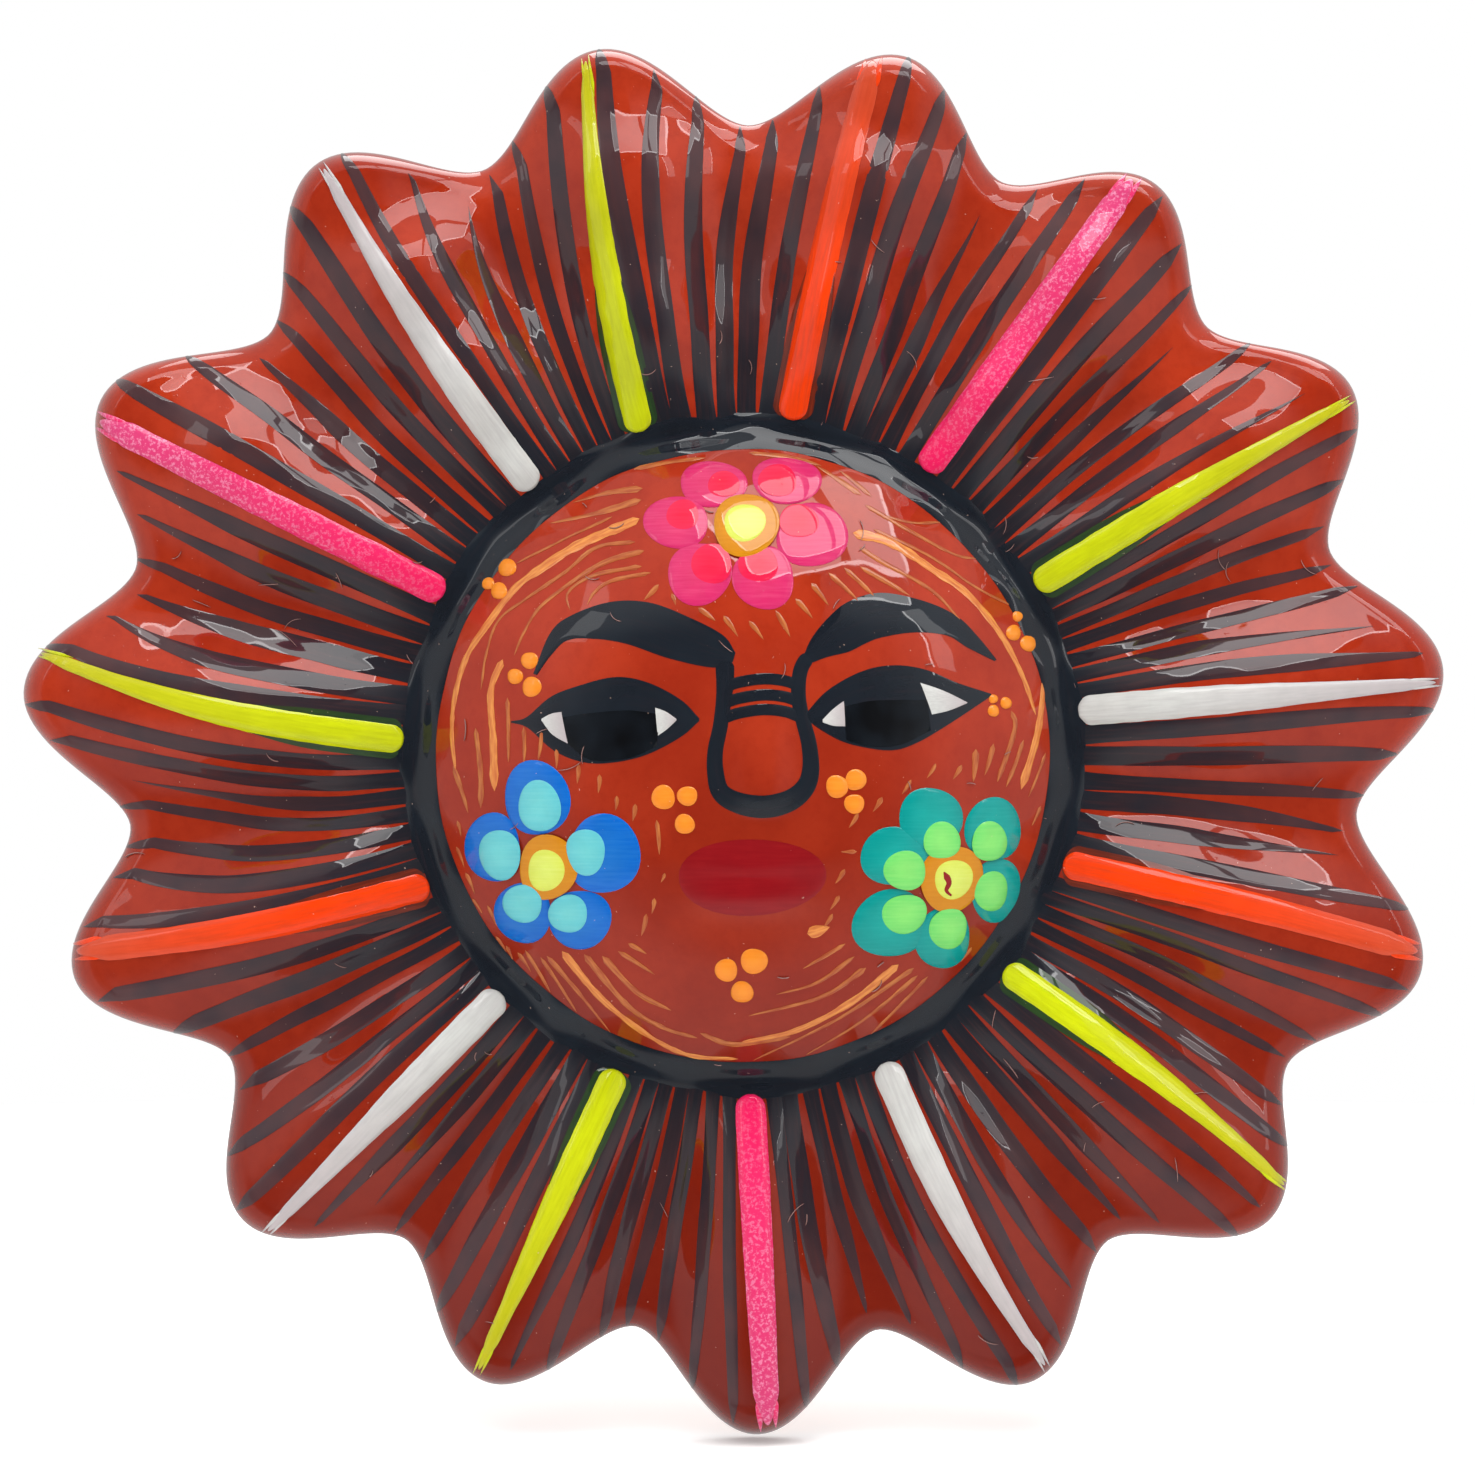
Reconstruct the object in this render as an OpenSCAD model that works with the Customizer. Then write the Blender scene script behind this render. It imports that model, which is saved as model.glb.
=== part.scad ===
// Hand-painted clay sun plaque. A fluted disc of fifteen rays carries a hollow domed face.
// Raised dabs of paint lie on both, and a wire bail in the hollow back hangs it on a nail.
// Millimetres, +Z up. The front faces -Y and the origin is on the face's axis, at the wall.
// Inside on_wall() the plaque is drawn lying down: X right, Y up the face, Z out of the wall.

/* [Face] */
// Radius of the face
face_r = 24; // [20:0.1:29]
// Height of the face's edge above the wall
face_edge_h = 6.5; // [6:0.1:8]
// Rise of the dome above the face's edge
dome_rise = 10.5; // [8.5:0.1:13]
// Thickness of the face's wall
face_wall = 4; // [3:0.1:5]
// How far the nose stands out of the dome
nose_relief = 0.9; // [0.4:0.1:1.4]
// Thickness of the rod that bulges out as the nose
nose_w = 4.4; // [3:0.1:5.5]
// Length of the nose
nose_len = 10; // [8:0.1:12]
// How far the lips stand out of the dome
lip_relief = 0.5; // [0.2:0.1:1]
// Width of the mouth
mouth_w = 11; // [8:0.1:12]
// Thickness of the rod that bulges out as the lips
lips_t = 5; // [4:0.1:6]

/* [Rays] */
// Length of a ray, from the seam around the face to the mean tip
ray_len = 30.4; // [24:0.1:37]
// Depth of the notch between two tips
notch_depth = 7; // [4:0.1:9]
// How far the rim's centre lies above the face's axis
rim_up = 1.6; // [0:0.1:2]
// Height of the disc where it meets the face
moat_h = 5.4; // [4.8:0.1:6]
// Greatest height of a ray's ridge
ridge_h = 9.2; // [7.5:0.1:11.5]
// Height of a ridge just before its tip rolls over
tip_h = 7; // [6:0.1:7.5]
// Height of the valley between two rays, at the rim
valley_h = 4.6; // [3.8:0.1:4.8]
// Width of the rounded front edge
roll_w = 2.6; // [1.5:0.1:3.2]
// Height of the rim's widest line above the wall
rim_h = 1.4; // [1:0.1:2]

/* [Slip seam] */
// Width of the slip that bonds the face into the disc
seam_w = 0.6; // [0.4:0.05:1]
// Gap left between bonded pieces
bond_gap = 0.03; // [0.02:0.01:0.06]

/* [Hanger] */
// Radius of the bail's wire
wire_r = 0.7; // [0.5:0.05:0.9]
// Radial clearance of the wire in its bores
bore_gap = 0.08; // [0.03:0.01:0.1]
// Distance from the bail's hinge to the middle of its crown
bail_reach = 9; // [7:0.1:11]
// Half the distance between the bail's legs
bail_half = 4.6; // [3.8:0.1:5.6]
// Bend radius where a leg turns out into its pin
elbow_r = 1.2; // [0.9:0.1:1.5]
// Gap between the turned-up bail and the hollow's wall
bail_clear = 2.3; // [1:0.1:3]
// Height of the hinge line above the wall
hinge_h = 3.5; // [3:0.1:4.5]
// Side play between an elbow and its lug
lug_play = 0.4; // [0.2:0.1:0.8]
// Thickness of a lug, along its bore
lug_w = 4; // [3:0.1:4.8]
// Length of a lug, up the face
lug_len = 6.4; // [5:0.1:8]
// Height of a lug's end above the wall
lug_low = 1.2; // [0.6:0.1:1.6]

/* [Ray strokes] */
// Width of a stroke at its blunt end
stroke_w = 2.3; // [1.6:0.1:2.8]
// Width of a stroke at its tip
stroke_tip_w = 0.9; // [0.5:0.1:1.2]
// Thickness of a stroke
stroke_t = 0.35; // [0.2:0.05:0.5]
// Distance from the seam to a stroke's blunt end
stroke_in = 1.5; // [1:0.1:3]
// Distance from a stroke's tip to the rim
stroke_out = 1.3; // [0.9:0.1:3]

/* [Flowers and dots] */
// Thickness of one layer of raised paint
dab_t = 0.25; // [0.15:0.05:0.4]
// Gap between a flower and the face's edge
flower_margin = 0.8; // [0.4:0.1:1.5]
// Distance from a flower's centre to its petals' centres
petal_ring = 4.8; // [4.7:0.1:5.8]
// Length of a petal
petal_len = 5.2; // [4.6:0.1:6.3]
// Width of a petal
petal_w = 4; // [3.4:0.1:4.1]
// Diameter of the light dab on a petal
dab_d = 3; // [2.4:0.1:3.4]
// How far a light dab lies inside its petal's centre
dab_in = 0.3; // [0:0.1:0.5]
// Diameter of a flower's ochre eye
eye_d = 4.6; // [4:0.1:5]
// Diameter of a flower's yellow core
core_d = 3; // [2:0.1:3.4]
// Diameter of a large orange dot
dot_d = 1.9; // [1.4:0.1:2.1]
// Diameter of a small orange dot
small_dot_d = 1.1; // [0.8:0.1:1.4]

/* [Hidden] */

CLAY = "#a03c2c";
BLACK = "#20242a";
ORANGE = "#fb5a30";

// Rays are counted anticlockwise from the right, as seen from the front
RAYS = 15;
PITCH = 360 / RAYS;
FIRST_RAY = 6.6;
// Hand work: each ray's lean from even spacing, in degrees, and its tip's and notch's extra length
LEAN = [0.5, 0.7, -0.4, -1.6, -0.8, -0.9, 0.2, 0.2, -0.2, 0.3, 1, 0.7, 0.4, 0.3, -0.5];
TIP_MORE = [-0.2, -0.4, -1.4, -0.7, -0.5, 0.4, 1.3, 1, 0.3, -0.8, -0.8, -0.5, 0.2, 0.8, 1];
NOTCH_MORE = [0, 0.2, -0.4, -0.5, 0.4, 0.3, 1, 0.2, -0.8, -0.7, -1.1, -0.4, 0.7, 1.7, 0.3];
// Each stroke's turn from its ray's own line, in degrees, at its blunt end and at its tip
STROKE_IN_TURN = [0.4, -1.3, 3, 4.7, 5.6, 2.3, 0.7, 2.6, 4.1, 1.8, 0.8, 0, -0.2, 1.9, -0.7];
STROKE_OUT_TURN = [-1.1, -1, 1.7, 2.3, 0.9, -0.2, 1.7, -3.1, -2, 2.2, -0.8, 0.9, 1.4, 2.7, 1.7];
STROKE_COLOURS = ["white", "yellow", "pink", "orange", "yellow", "white", "pink", "yellow",
    "orange", "white", "yellow", "pink", "white", "yellow", "orange"];

// Flowers: direction from the face's axis, petal count, direction of the first petal
PINK_FLOWER = [89, 6, 50];
BLUE_FLOWER = [209, 5, 22];
TEAL_FLOWER = [330, 6, 45];
// Groups of three dots: direction from the face's axis and distance in from the face's edge
LARGE_DOTS = [[156, 8.4], [218, 20.8], [342, 18.4], [269.5, 9.6]];
SMALL_DOTS = [[141.5, 2], [24, 2], [11.5, 5.2]];
DOT_SPREAD = 0.75;    // distance of each dot from its group's centre, in dot diameters
// Centres of the nose and of the mouth, from the face's axis
NOSE = [1.3, 0.6];
MOUTH = [0.7, -9];
ARCH_SHARE = 0.6;    // half length of an arched rod, ends sunk in the dome, over its length in sight

// Mesh steps
HALF_RAY_STEPS = 6;
BODY_STEPS = 7;
ROLL_STEPS = 4;
UNDER_STEPS = 2;
STROKE_STEPS = 20;
SMOOTH = 96;
PAST = 1;    // how far a cutting tool runs past what it cuts
FAR = 60;    // longer than the plaque is deep

seam_r = face_r + seam_w;
dome_R = (face_r * face_r + dome_rise * dome_rise) / (2 * dome_rise);
dome_c = face_edge_h + dome_rise - dome_R;
edge_angle = asin(face_r / dome_R);
hollow_r = face_r - face_wall;
hollow_R = dome_R - face_wall;
hinge_up = hollow_r - bail_clear - wire_r - bail_reach;
lug_x = bail_half + elbow_r + lug_play;
flower_reach = petal_ring + petal_len / 2;
flower_angle = edge_angle - arc_angle(flower_reach + flower_margin);

module on_wall() {
    rotate([90, 0, 0])
        children();
}

// ---- Rim and ray surface ----

function arc_angle(length) = length / dome_R * 180 / PI;
function mix(a, b, t) = a + (b - a) * t;
function wrap(k) = (k + RAYS) % RAYS;
function ray_angle(k) = FIRST_RAY + PITCH * k + LEAN[wrap(k)];
function notch_angle(k) = (ray_angle(k) + ray_angle(k + 1)) / 2;
function rim_shift(a) = rim_up * sin(a);
function tip_radius(k) = seam_r + ray_len + rim_shift(ray_angle(k)) + TIP_MORE[wrap(k)];
function notch_radius(k) =
    seam_r + ray_len - notch_depth + rim_shift(notch_angle(k)) + NOTCH_MORE[wrap(k)];

// 0 on a ray's line, +1 at the notch anticlockwise of it, -1 at the notch clockwise of it
function across(k, a) =
    a >= ray_angle(k)
    ? min(1, (a - ray_angle(k)) / (notch_angle(k) - ray_angle(k)))
    : max(-1, (a - ray_angle(k)) / (ray_angle(k) - notch_angle(k - 1)));
function crest(f) = (1 + cos(180 * f)) / 2;
function rim_radius(k, f) =
    mix(notch_radius(f >= 0 ? k : k - 1), tip_radius(k), pow(crest(f), 0.9));

// Height of the front at fraction t of the way out to the rolled edge
function ridge_height(t) =
    t < 0.5
    ? mix(moat_h, ridge_h, 1 - pow(1 - 2 * t, 2))
    : mix(ridge_h, tip_h, pow(2 * t - 1, 2));
function valley_height(t) = mix(moat_h, valley_h, sin(90 * t));
function front_height(t, f) = mix(valley_height(t), ridge_height(t), crest(f));

// Height of the front at radius r, rolled edge included
function surface_height(k, f, r) =
    let (body_r = rim_radius(k, f) - roll_w)
    r <= body_r
    ? front_height(max(0, (r - seam_r) / (body_r - seam_r)), f)
    : mix(rim_h, front_height(1, f), cos(asin(min(1, (r - body_r) / roll_w))));

// One radial section of the disc, as [radius, height], anticlockwise round the section
function disc_section(k, f) =
    let (rim = rim_radius(k, f), body_r = rim - roll_w, edge = front_height(1, f))
    concat(
        [for (i = [0:BODY_STEPS])
            let (t = i / BODY_STEPS) [mix(seam_r, body_r, t), front_height(t, f)]],
        [for (i = [1:ROLL_STEPS])
            let (a = 90 * i / ROLL_STEPS) [body_r + roll_w * sin(a), mix(rim_h, edge, cos(a))]],
        [for (i = [1:UNDER_STEPS])
            let (a = 90 * i / UNDER_STEPS) [rim - rim_h * (1 - cos(a)), rim_h * (1 - sin(a))]],
        [[seam_r, 0]]
    );

// Triangles that join closed sections of n points into a ring of m sections
function ring_faces(m, n) = [
    for (i = [0:m - 1], j = [0:n - 1])
        let (a = i * n + j, b = i * n + (j + 1) % n,
             c = (i + 1) % m * n + (j + 1) % n, d = (i + 1) % m * n + j)
        each [[a, b, c], [a, c, d]]
];

module fluted_disc() {
    columns = [for (k = [0:RAYS - 1], j = [-HALF_RAY_STEPS:HALF_RAY_STEPS - 1])
        let (f = j / HALF_RAY_STEPS,
             a = f >= 0
                 ? mix(ray_angle(k), notch_angle(k), f)
                 : mix(ray_angle(k), notch_angle(k - 1), -f))
        [for (p = disc_section(k, f)) [p[0] * cos(a), p[0] * sin(a), p[1]]]];
    points = [for (column = columns) each column];
    polyhedron(points, ring_faces(len(columns), len(columns[0])), convexity = 10);
}

// ---- Paint strokes on the rays ----

// Section of a bead of paint: [share of half width, share of thickness]
BEAD = [[-1, 0], [-0.5, 0], [0, 0], [0.5, 0], [1, 0], [0.6, 0.64], [0, 1], [-0.6, 0.64]];
BEAD_END = 0.15;    // size of a bead's end section, as a share of its full size

function bead_size(d, full, length) =
    let (blunt = full / 2, taper = 2 * blunt)
    d < blunt ? max(BEAD_END, sqrt(1 - pow(1 - d / blunt, 2)))
    : d > length - taper ? max(BEAD_END, (length - d) / taper)
    : 1;

function on_ray(k, p, lift) =
    let (a = atan2(p[1], p[0]), near = a + 360 * round((ray_angle(k) - a) / 360))
    [p[0], p[1], surface_height(k, across(k, near), norm(p)) + bond_gap * 2 + lift];

module ray_stroke(k) {
    in_a = ray_angle(k) + STROKE_IN_TURN[k];
    out_a = ray_angle(k) + STROKE_OUT_TURN[k];
    in_r = seam_r + stroke_in;
    out_r = rim_radius(k, across(k, out_a)) - stroke_out;
    start = in_r * [cos(in_a), sin(in_a)];
    end = out_r * [cos(out_a), sin(out_a)];
    length = norm(end - start);
    along = (end - start) / length;
    side = [-along[1], along[0]];
    n = len(BEAD);
    points = [for (i = [0:STROKE_STEPS])
        let (d = length * (1 - cos(180 * i / STROKE_STEPS)) / 2,
             size = bead_size(d, stroke_w, length),
             half = mix(stroke_w, stroke_tip_w, pow(d / length, 1.5)) / 2 * size)
        for (b = BEAD) on_ray(k, start + along * d + side * half * b[0], stroke_t * size * b[1])];
    last = STROKE_STEPS * n;
    faces = concat(
        [for (i = [0:STROKE_STEPS - 1], j = [0:n - 1])
            let (a = i * n + j, b = i * n + (j + 1) % n)
            each [[a, b + n, b], [a, a + n, b + n]]],
        [for (j = [1:n - 2]) [0, j, j + 1]],
        [for (j = [1:n - 2]) [last, last + j + 1, last + j]]
    );
    polyhedron(points, faces, convexity = 4);
}

module strokes(name) {
    for (k = [0:RAYS - 1])
        if (STROKE_COLOURS[k] == name)
            ray_stroke(k);
}

// ---- Face ----

module dome_ball(radius) {
    translate([0, 0, dome_c])
        sphere(radius, $fn = SMOOTH);
}

// Puts the origin on the dome, at the given tilt from its axis and direction round it
module on_dome(tilt, direction) {
    translate([0, 0, dome_c])
        rotate([0, 0, direction])
            rotate([0, tilt, 0])
                translate([0, 0, dome_R])
                    children();
}

module at_point(p) {
    tilt = asin(norm(p) / dome_R);
    direction = atan2(p[1], p[0]);
    on_dome(tilt, direction)
        rotate([0, 0, -direction])
            children();
}

// A rod that arches out of the dome and dives back into it, up and down the face
module arched_rod(thickness, relief, length) {
    outer_r = 1 / (8 * relief / (length * length) + 1 / dome_R);
    half_turn = asin(min(ARCH_SHARE * length / outer_r, 1));
    translate([0, 0, relief - outer_r])
        rotate([half_turn, 0, 0])
            rotate([0, -90, 0])
                rotate_extrude(angle = 2 * half_turn, $fn = SMOOTH)
                    translate([outer_r - thickness / 2, 0])
                        circle(thickness / 2, $fn = SMOOTH);
}

module nose() {
    at_point(NOSE)
        arched_rod(nose_w, nose_relief, nose_len);
}

module lips() {
    at_point(MOUTH)
        rotate([0, 0, -90])
            arched_rod(lips_t, lip_relief, mouth_w);
}

module hollow() {
    intersection() {
        dome_ball(hollow_R);
        translate([0, 0, -PAST])
            cylinder(r = hollow_r, h = FAR, $fn = SMOOTH);
    }
}

// ---- Raised paint on the face ----

// The space that one layer of paint takes, level 0 lying on the clay
module paint_layer(level) {
    inside = dome_R + bond_gap + level * (dab_t + bond_gap);
    difference() {
        dome_ball(inside + dab_t);
        dome_ball(inside);
    }
}

module stadium(length, width) {
    square([length - width, width], center = true);
    for (s = [-1, 1])
        translate([s * (length - width) / 2, 0])
            circle(width / 2, $fn = SMOOTH);
}

module petal_plug() {
    translate([0, 0, -dome_R / 4])
        linear_extrude(dome_R / 2)
            stadium(petal_len, petal_w);
}

module round_plug(diameter) {
    cylinder(d = diameter, h = dome_R / 2, center = true, $fn = SMOOTH);
}

module in_flower(flower) {
    on_dome(flower_angle, flower[0])
        rotate([0, 0, -flower[0]])
            children();
}

module petals(flower) {
    for (i = [0:flower[1] - 1])
        intersection() {
            paint_layer(0);
            in_flower(flower)
                rotate([0, 0, flower[2] + 360 / flower[1] * i])
                    translate([petal_ring, 0, 0])
                        petal_plug();
        }
}

module dabs(flower) {
    for (i = [0:flower[1] - 1])
        intersection() {
            paint_layer(1);
            in_flower(flower)
                rotate([0, 0, flower[2] + 360 / flower[1] * i])
                    translate([petal_ring - dab_in, 0, 0])
                        round_plug(dab_d);
        }
}

module flower_spots(level, diameter) {
    for (flower = [PINK_FLOWER, BLUE_FLOWER, TEAL_FLOWER])
        intersection() {
            paint_layer(level);
            in_flower(flower)
                round_plug(diameter);
        }
}

module dot_groups(groups, diameter) {
    for (group = groups, i = [0:2])
        intersection() {
            paint_layer(0);
            on_dome(edge_angle - arc_angle(group[1]), group[0])
                rotate([0, 0, 120 * i - group[0]])
                    translate([DOT_SPREAD * diameter, 0, 0])
                        round_plug(diameter);
        }
}

// ---- Hanger ----

// A clay lug with a round end, running from the hollow's wall back towards the hinge line
module lug() {
    half = lug_len / 2;
    difference() {
        intersection() {
            dome_ball(hollow_R - bond_gap);
            translate([lug_x, hinge_up, lug_low + half])
                union() {
                    rotate([0, 90, 0])
                        cylinder(r = half, h = lug_w, $fn = SMOOTH);
                    translate([0, -half, 0])
                        cube([lug_w, lug_len, FAR]);
                }
        }
        translate([lug_x - PAST, hinge_up, hinge_h])
            rotate([0, 90, 0])
                cylinder(r = wire_r + bore_gap, h = lug_w + 2 * PAST, $fn = SMOOTH);
    }
}

module wire(length) {
    cylinder(r = wire_r, h = length, $fn = SMOOTH);
}

module wire_bend(radius, angle) {
    rotate_extrude(angle = angle, $fn = SMOOTH)
        translate([radius, 0])
            circle(wire_r, $fn = SMOOTH);
}

// Half of the bail, from the middle of its crown to the end of its pin
module half_bail() {
    leg_top = hinge_up - elbow_r;
    leg_low = hinge_up - bail_reach + bail_half;
    translate([0, leg_low, hinge_h])
        rotate([0, 0, -90])
            wire_bend(bail_half, 90);
    translate([bail_half, leg_low, hinge_h])
        rotate([-90, 0, 0])
            wire(leg_top - leg_low);
    translate([bail_half + elbow_r, leg_top, hinge_h])
        rotate([0, 0, 90])
            wire_bend(elbow_r, 90);
    translate([bail_half + elbow_r, hinge_up, hinge_h])
        rotate([0, 90, 0])
            wire(lug_play + lug_w);
}

// ---- Pieces ----

module ray_disc() {
    color(CLAY)
        on_wall()
            fluted_disc();
}

module face_dome() {
    color(CLAY)
        on_wall()
            difference() {
                union() {
                    intersection() {
                        dome_ball(dome_R);
                        cylinder(r = face_r, h = FAR, $fn = SMOOTH);
                    }
                    nose();
                    lips();
                }
                hollow();
            }
}

module luting_ring() {
    inner = face_r + bond_gap;
    outer = seam_r - bond_gap;
    color(BLACK)
        on_wall()
            rotate_extrude($fn = SMOOTH)
                polygon([[inner, 0], [outer, 0], [outer, moat_h - bond_gap],
                    [inner, face_edge_h - bond_gap]]);
}

module hanger_lug_left() {
    color(CLAY)
        on_wall()
            mirror([1, 0, 0])
                lug();
}

module hanger_lug_right() {
    color(CLAY)
        on_wall()
            lug();
}

module hanger_bail() {
    color("silver")
        on_wall() {
            half_bail();
            mirror([1, 0, 0])
                half_bail();
        }
}

module white_strokes() {
    color("#cbcbc9")
        on_wall()
            strokes("white");
}

module yellow_strokes() {
    color("#c8d432")
        on_wall()
            strokes("yellow");
}

module pink_strokes() {
    color("#f0407a")
        on_wall()
            strokes("pink");
}

module orange_strokes() {
    color(ORANGE)
        on_wall()
            strokes("orange");
}

module pink_petals() {
    color("#e25681")
        on_wall()
            petals(PINK_FLOWER);
}

module pink_dabs() {
    color("#f3335a")
        on_wall()
            dabs(PINK_FLOWER);
}

module blue_petals() {
    color("#2b76c0")
        on_wall()
            petals(BLUE_FLOWER);
}

module cyan_dabs() {
    color("#79cece")
        on_wall()
            dabs(BLUE_FLOWER);
}

module teal_petals() {
    color("#1ca49d")
        on_wall()
            petals(TEAL_FLOWER);
}

module green_dabs() {
    color("#87e27d")
        on_wall()
            dabs(TEAL_FLOWER);
}

module flower_eyes() {
    color("#d79628")
        on_wall()
            flower_spots(1, eye_d);
}

module flower_cores() {
    color("#cedc68")
        on_wall()
            flower_spots(2, core_d);
}

module orange_dots() {
    color("#f0963c")
        on_wall() {
            dot_groups(LARGE_DOTS, dot_d);
            dot_groups(SMALL_DOTS, small_dot_d);
        }
}

ray_disc();
face_dome();
luting_ring();
hanger_lug_left();
hanger_lug_right();
hanger_bail();
white_strokes();
yellow_strokes();
pink_strokes();
orange_strokes();
pink_petals();
pink_dabs();
blue_petals();
cyan_dabs();
teal_petals();
green_dabs();
flower_eyes();
flower_cores();
orange_dots();
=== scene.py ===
"""A hand-painted clay sun plaque: the looks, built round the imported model.

The plaque's own coordinates are x to the right, y up the face and w out of the wall, in millimetres.
The world has x = x, z = y and y = -w, in metres.
"""
import random

import bpy
import numpy as np
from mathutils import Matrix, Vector, noise


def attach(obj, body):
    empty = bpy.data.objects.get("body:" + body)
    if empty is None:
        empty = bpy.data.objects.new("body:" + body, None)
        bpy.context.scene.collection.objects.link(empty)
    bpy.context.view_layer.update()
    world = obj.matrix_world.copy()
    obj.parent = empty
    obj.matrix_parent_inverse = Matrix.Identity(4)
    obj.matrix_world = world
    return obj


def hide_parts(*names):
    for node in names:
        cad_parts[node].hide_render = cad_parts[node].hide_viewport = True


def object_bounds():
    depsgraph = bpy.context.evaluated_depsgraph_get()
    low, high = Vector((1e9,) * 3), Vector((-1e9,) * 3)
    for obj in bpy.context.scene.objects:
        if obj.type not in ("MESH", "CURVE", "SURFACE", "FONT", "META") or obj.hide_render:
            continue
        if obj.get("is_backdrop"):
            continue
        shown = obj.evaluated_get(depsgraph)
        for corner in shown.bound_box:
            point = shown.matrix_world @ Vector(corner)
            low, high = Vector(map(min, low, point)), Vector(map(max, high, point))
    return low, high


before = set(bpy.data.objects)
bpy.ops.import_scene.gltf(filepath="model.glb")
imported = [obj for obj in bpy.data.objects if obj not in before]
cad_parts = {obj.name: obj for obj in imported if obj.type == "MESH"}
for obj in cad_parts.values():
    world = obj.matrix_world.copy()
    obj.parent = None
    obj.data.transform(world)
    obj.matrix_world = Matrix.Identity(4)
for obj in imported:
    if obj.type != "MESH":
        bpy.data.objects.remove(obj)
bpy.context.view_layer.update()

MM = 0.001

# ---- Sizes and places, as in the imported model, in millimetres and degrees ----

FACE_R = 24
FACE_EDGE_H = 6.5
DOME_RISE = 10.5
FACE_WALL = 4
SEAM_R = 24.6
RAY_LEN = 30.4
NOTCH_DEPTH = 7
RIM_UP = 1.6
MOAT_H, RIDGE_H, TIP_H, VALLEY_H = 5.4, 9.2, 7, 4.6
ROLL_W = 2.6
RIM_H = 1.4
STROKE_W, STROKE_TIP_W, BROAD_TIP_W, STROKE_T = 2.3, 0.9, 1.9, 0.3
STROKE_IN, STROKE_OUT = 1.5, 1.3

RAYS = 15
PITCH = 360 / RAYS
FIRST_RAY = 6.6
LEAN = [0.5, 0.7, -0.4, -1.6, -0.8, -0.9, 0.2, 0.2, -0.2, 0.3, 1, 0.7, 0.4, 0.3, -0.5]
TIP_MORE = [-0.2, -0.4, -1.4, -0.7, -0.5, 0.4, 1.3, 1, 0.3, -0.8, -0.8, -0.5, 0.2, 0.8, 1]
NOTCH_MORE = [0, 0.2, -0.4, -0.5, 0.4, 0.3, 1, 0.2, -0.8, -0.7, -1.1, -0.4, 0.7, 1.7, 0.3]
STROKE_IN_TURN = [0.4, -1.3, 3, 4.7, 5.6, 2.3, 0.7, 2.6, 4.1, 1.8, 0.8, 0, -0.2, 1.9, -0.7]
STROKE_OUT_TURN = [-1.1, -1, 1.7, 2.3, 0.9, -0.2, 1.7, -3.1, -2, 2.2, -0.8, 0.9, 1.4, 2.7, 1.7]
# How far each coloured stroke bows sideways, in millimetres
BOW = [0, 0.2, 0, 0.3, 0.8, 0.6, 0, 1.1, 0.6, 0, 0, 0, -0.7, 0.6, 0.3]
STROKE_COLOURS = ["white", "yellow", "pink", "orange", "yellow", "white", "pink", "yellow",
                  "orange", "white", "yellow", "pink", "white", "yellow", "orange"]
# Black stripes between each coloured stroke and the next one anticlockwise
STRIPES = [7, 7, 6, 6, 6, 6, 6, 7, 6, 6, 7, 6, 7, 6, 6]

DOME_BALL = (FACE_R ** 2 + DOME_RISE ** 2) / (2 * DOME_RISE)
DOME_C = FACE_EDGE_H + DOME_RISE - DOME_BALL
HOLLOW_R = FACE_R - FACE_WALL
HOLLOW_BALL = DOME_BALL - FACE_WALL

# ---- The front surface ----

RAY_ANGLES = np.array([FIRST_RAY + PITCH * k + LEAN[k] for k in range(RAYS)])
NEXT_RAYS = np.append(RAY_ANGLES[1:], RAY_ANGLES[0] + 360)
NOTCH_ANGLES = (RAY_ANGLES + NEXT_RAYS) / 2
PREVIOUS_NOTCHES = np.append(NOTCH_ANGLES[-1] - 360, NOTCH_ANGLES[:-1])
TIPS = SEAM_R + RAY_LEN + RIM_UP * np.sin(np.radians(RAY_ANGLES)) + np.array(TIP_MORE)
NOTCHES = (SEAM_R + RAY_LEN - NOTCH_DEPTH + RIM_UP * np.sin(np.radians(NOTCH_ANGLES))
           + np.array(NOTCH_MORE))


def mix(a, b, t):
    return a + (b - a) * t


def smooth(t):
    t = np.clip(t, 0, 1)
    return t * t * (3 - 2 * t)


def sector(a):
    """The ray each angle belongs to, and how far across it: 0 on its line, -1 and +1 at its notches."""
    a = (a - PREVIOUS_NOTCHES[0]) % 360 + PREVIOUS_NOTCHES[0]
    k = np.clip(np.searchsorted(NOTCH_ANGLES, a, side="right"), 0, RAYS - 1)
    after = (a - RAY_ANGLES[k]) / (NOTCH_ANGLES[k] - RAY_ANGLES[k])
    before = (a - RAY_ANGLES[k]) / (RAY_ANGLES[k] - PREVIOUS_NOTCHES[k])
    return k, np.where(a >= RAY_ANGLES[k], after, before)


def crest(f):
    return (1 + np.cos(np.pi * f)) / 2


TIP_SHARPNESS = 0.9


def rim_radius(a):
    k, f = sector(a)
    return mix(NOTCHES[np.where(f >= 0, k, k - 1)], TIPS[k], crest(f) ** TIP_SHARPNESS)


def ridge_profile(t, f):
    rise = mix(MOAT_H, RIDGE_H, 1 - (1 - 2 * t) ** 2)
    fall = mix(RIDGE_H, TIP_H, (2 * t - 1) ** 2)
    valley = mix(MOAT_H, VALLEY_H, np.sin(np.pi / 2 * t))
    return mix(valley, np.where(t < 0.5, rise, fall), crest(f))


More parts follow.
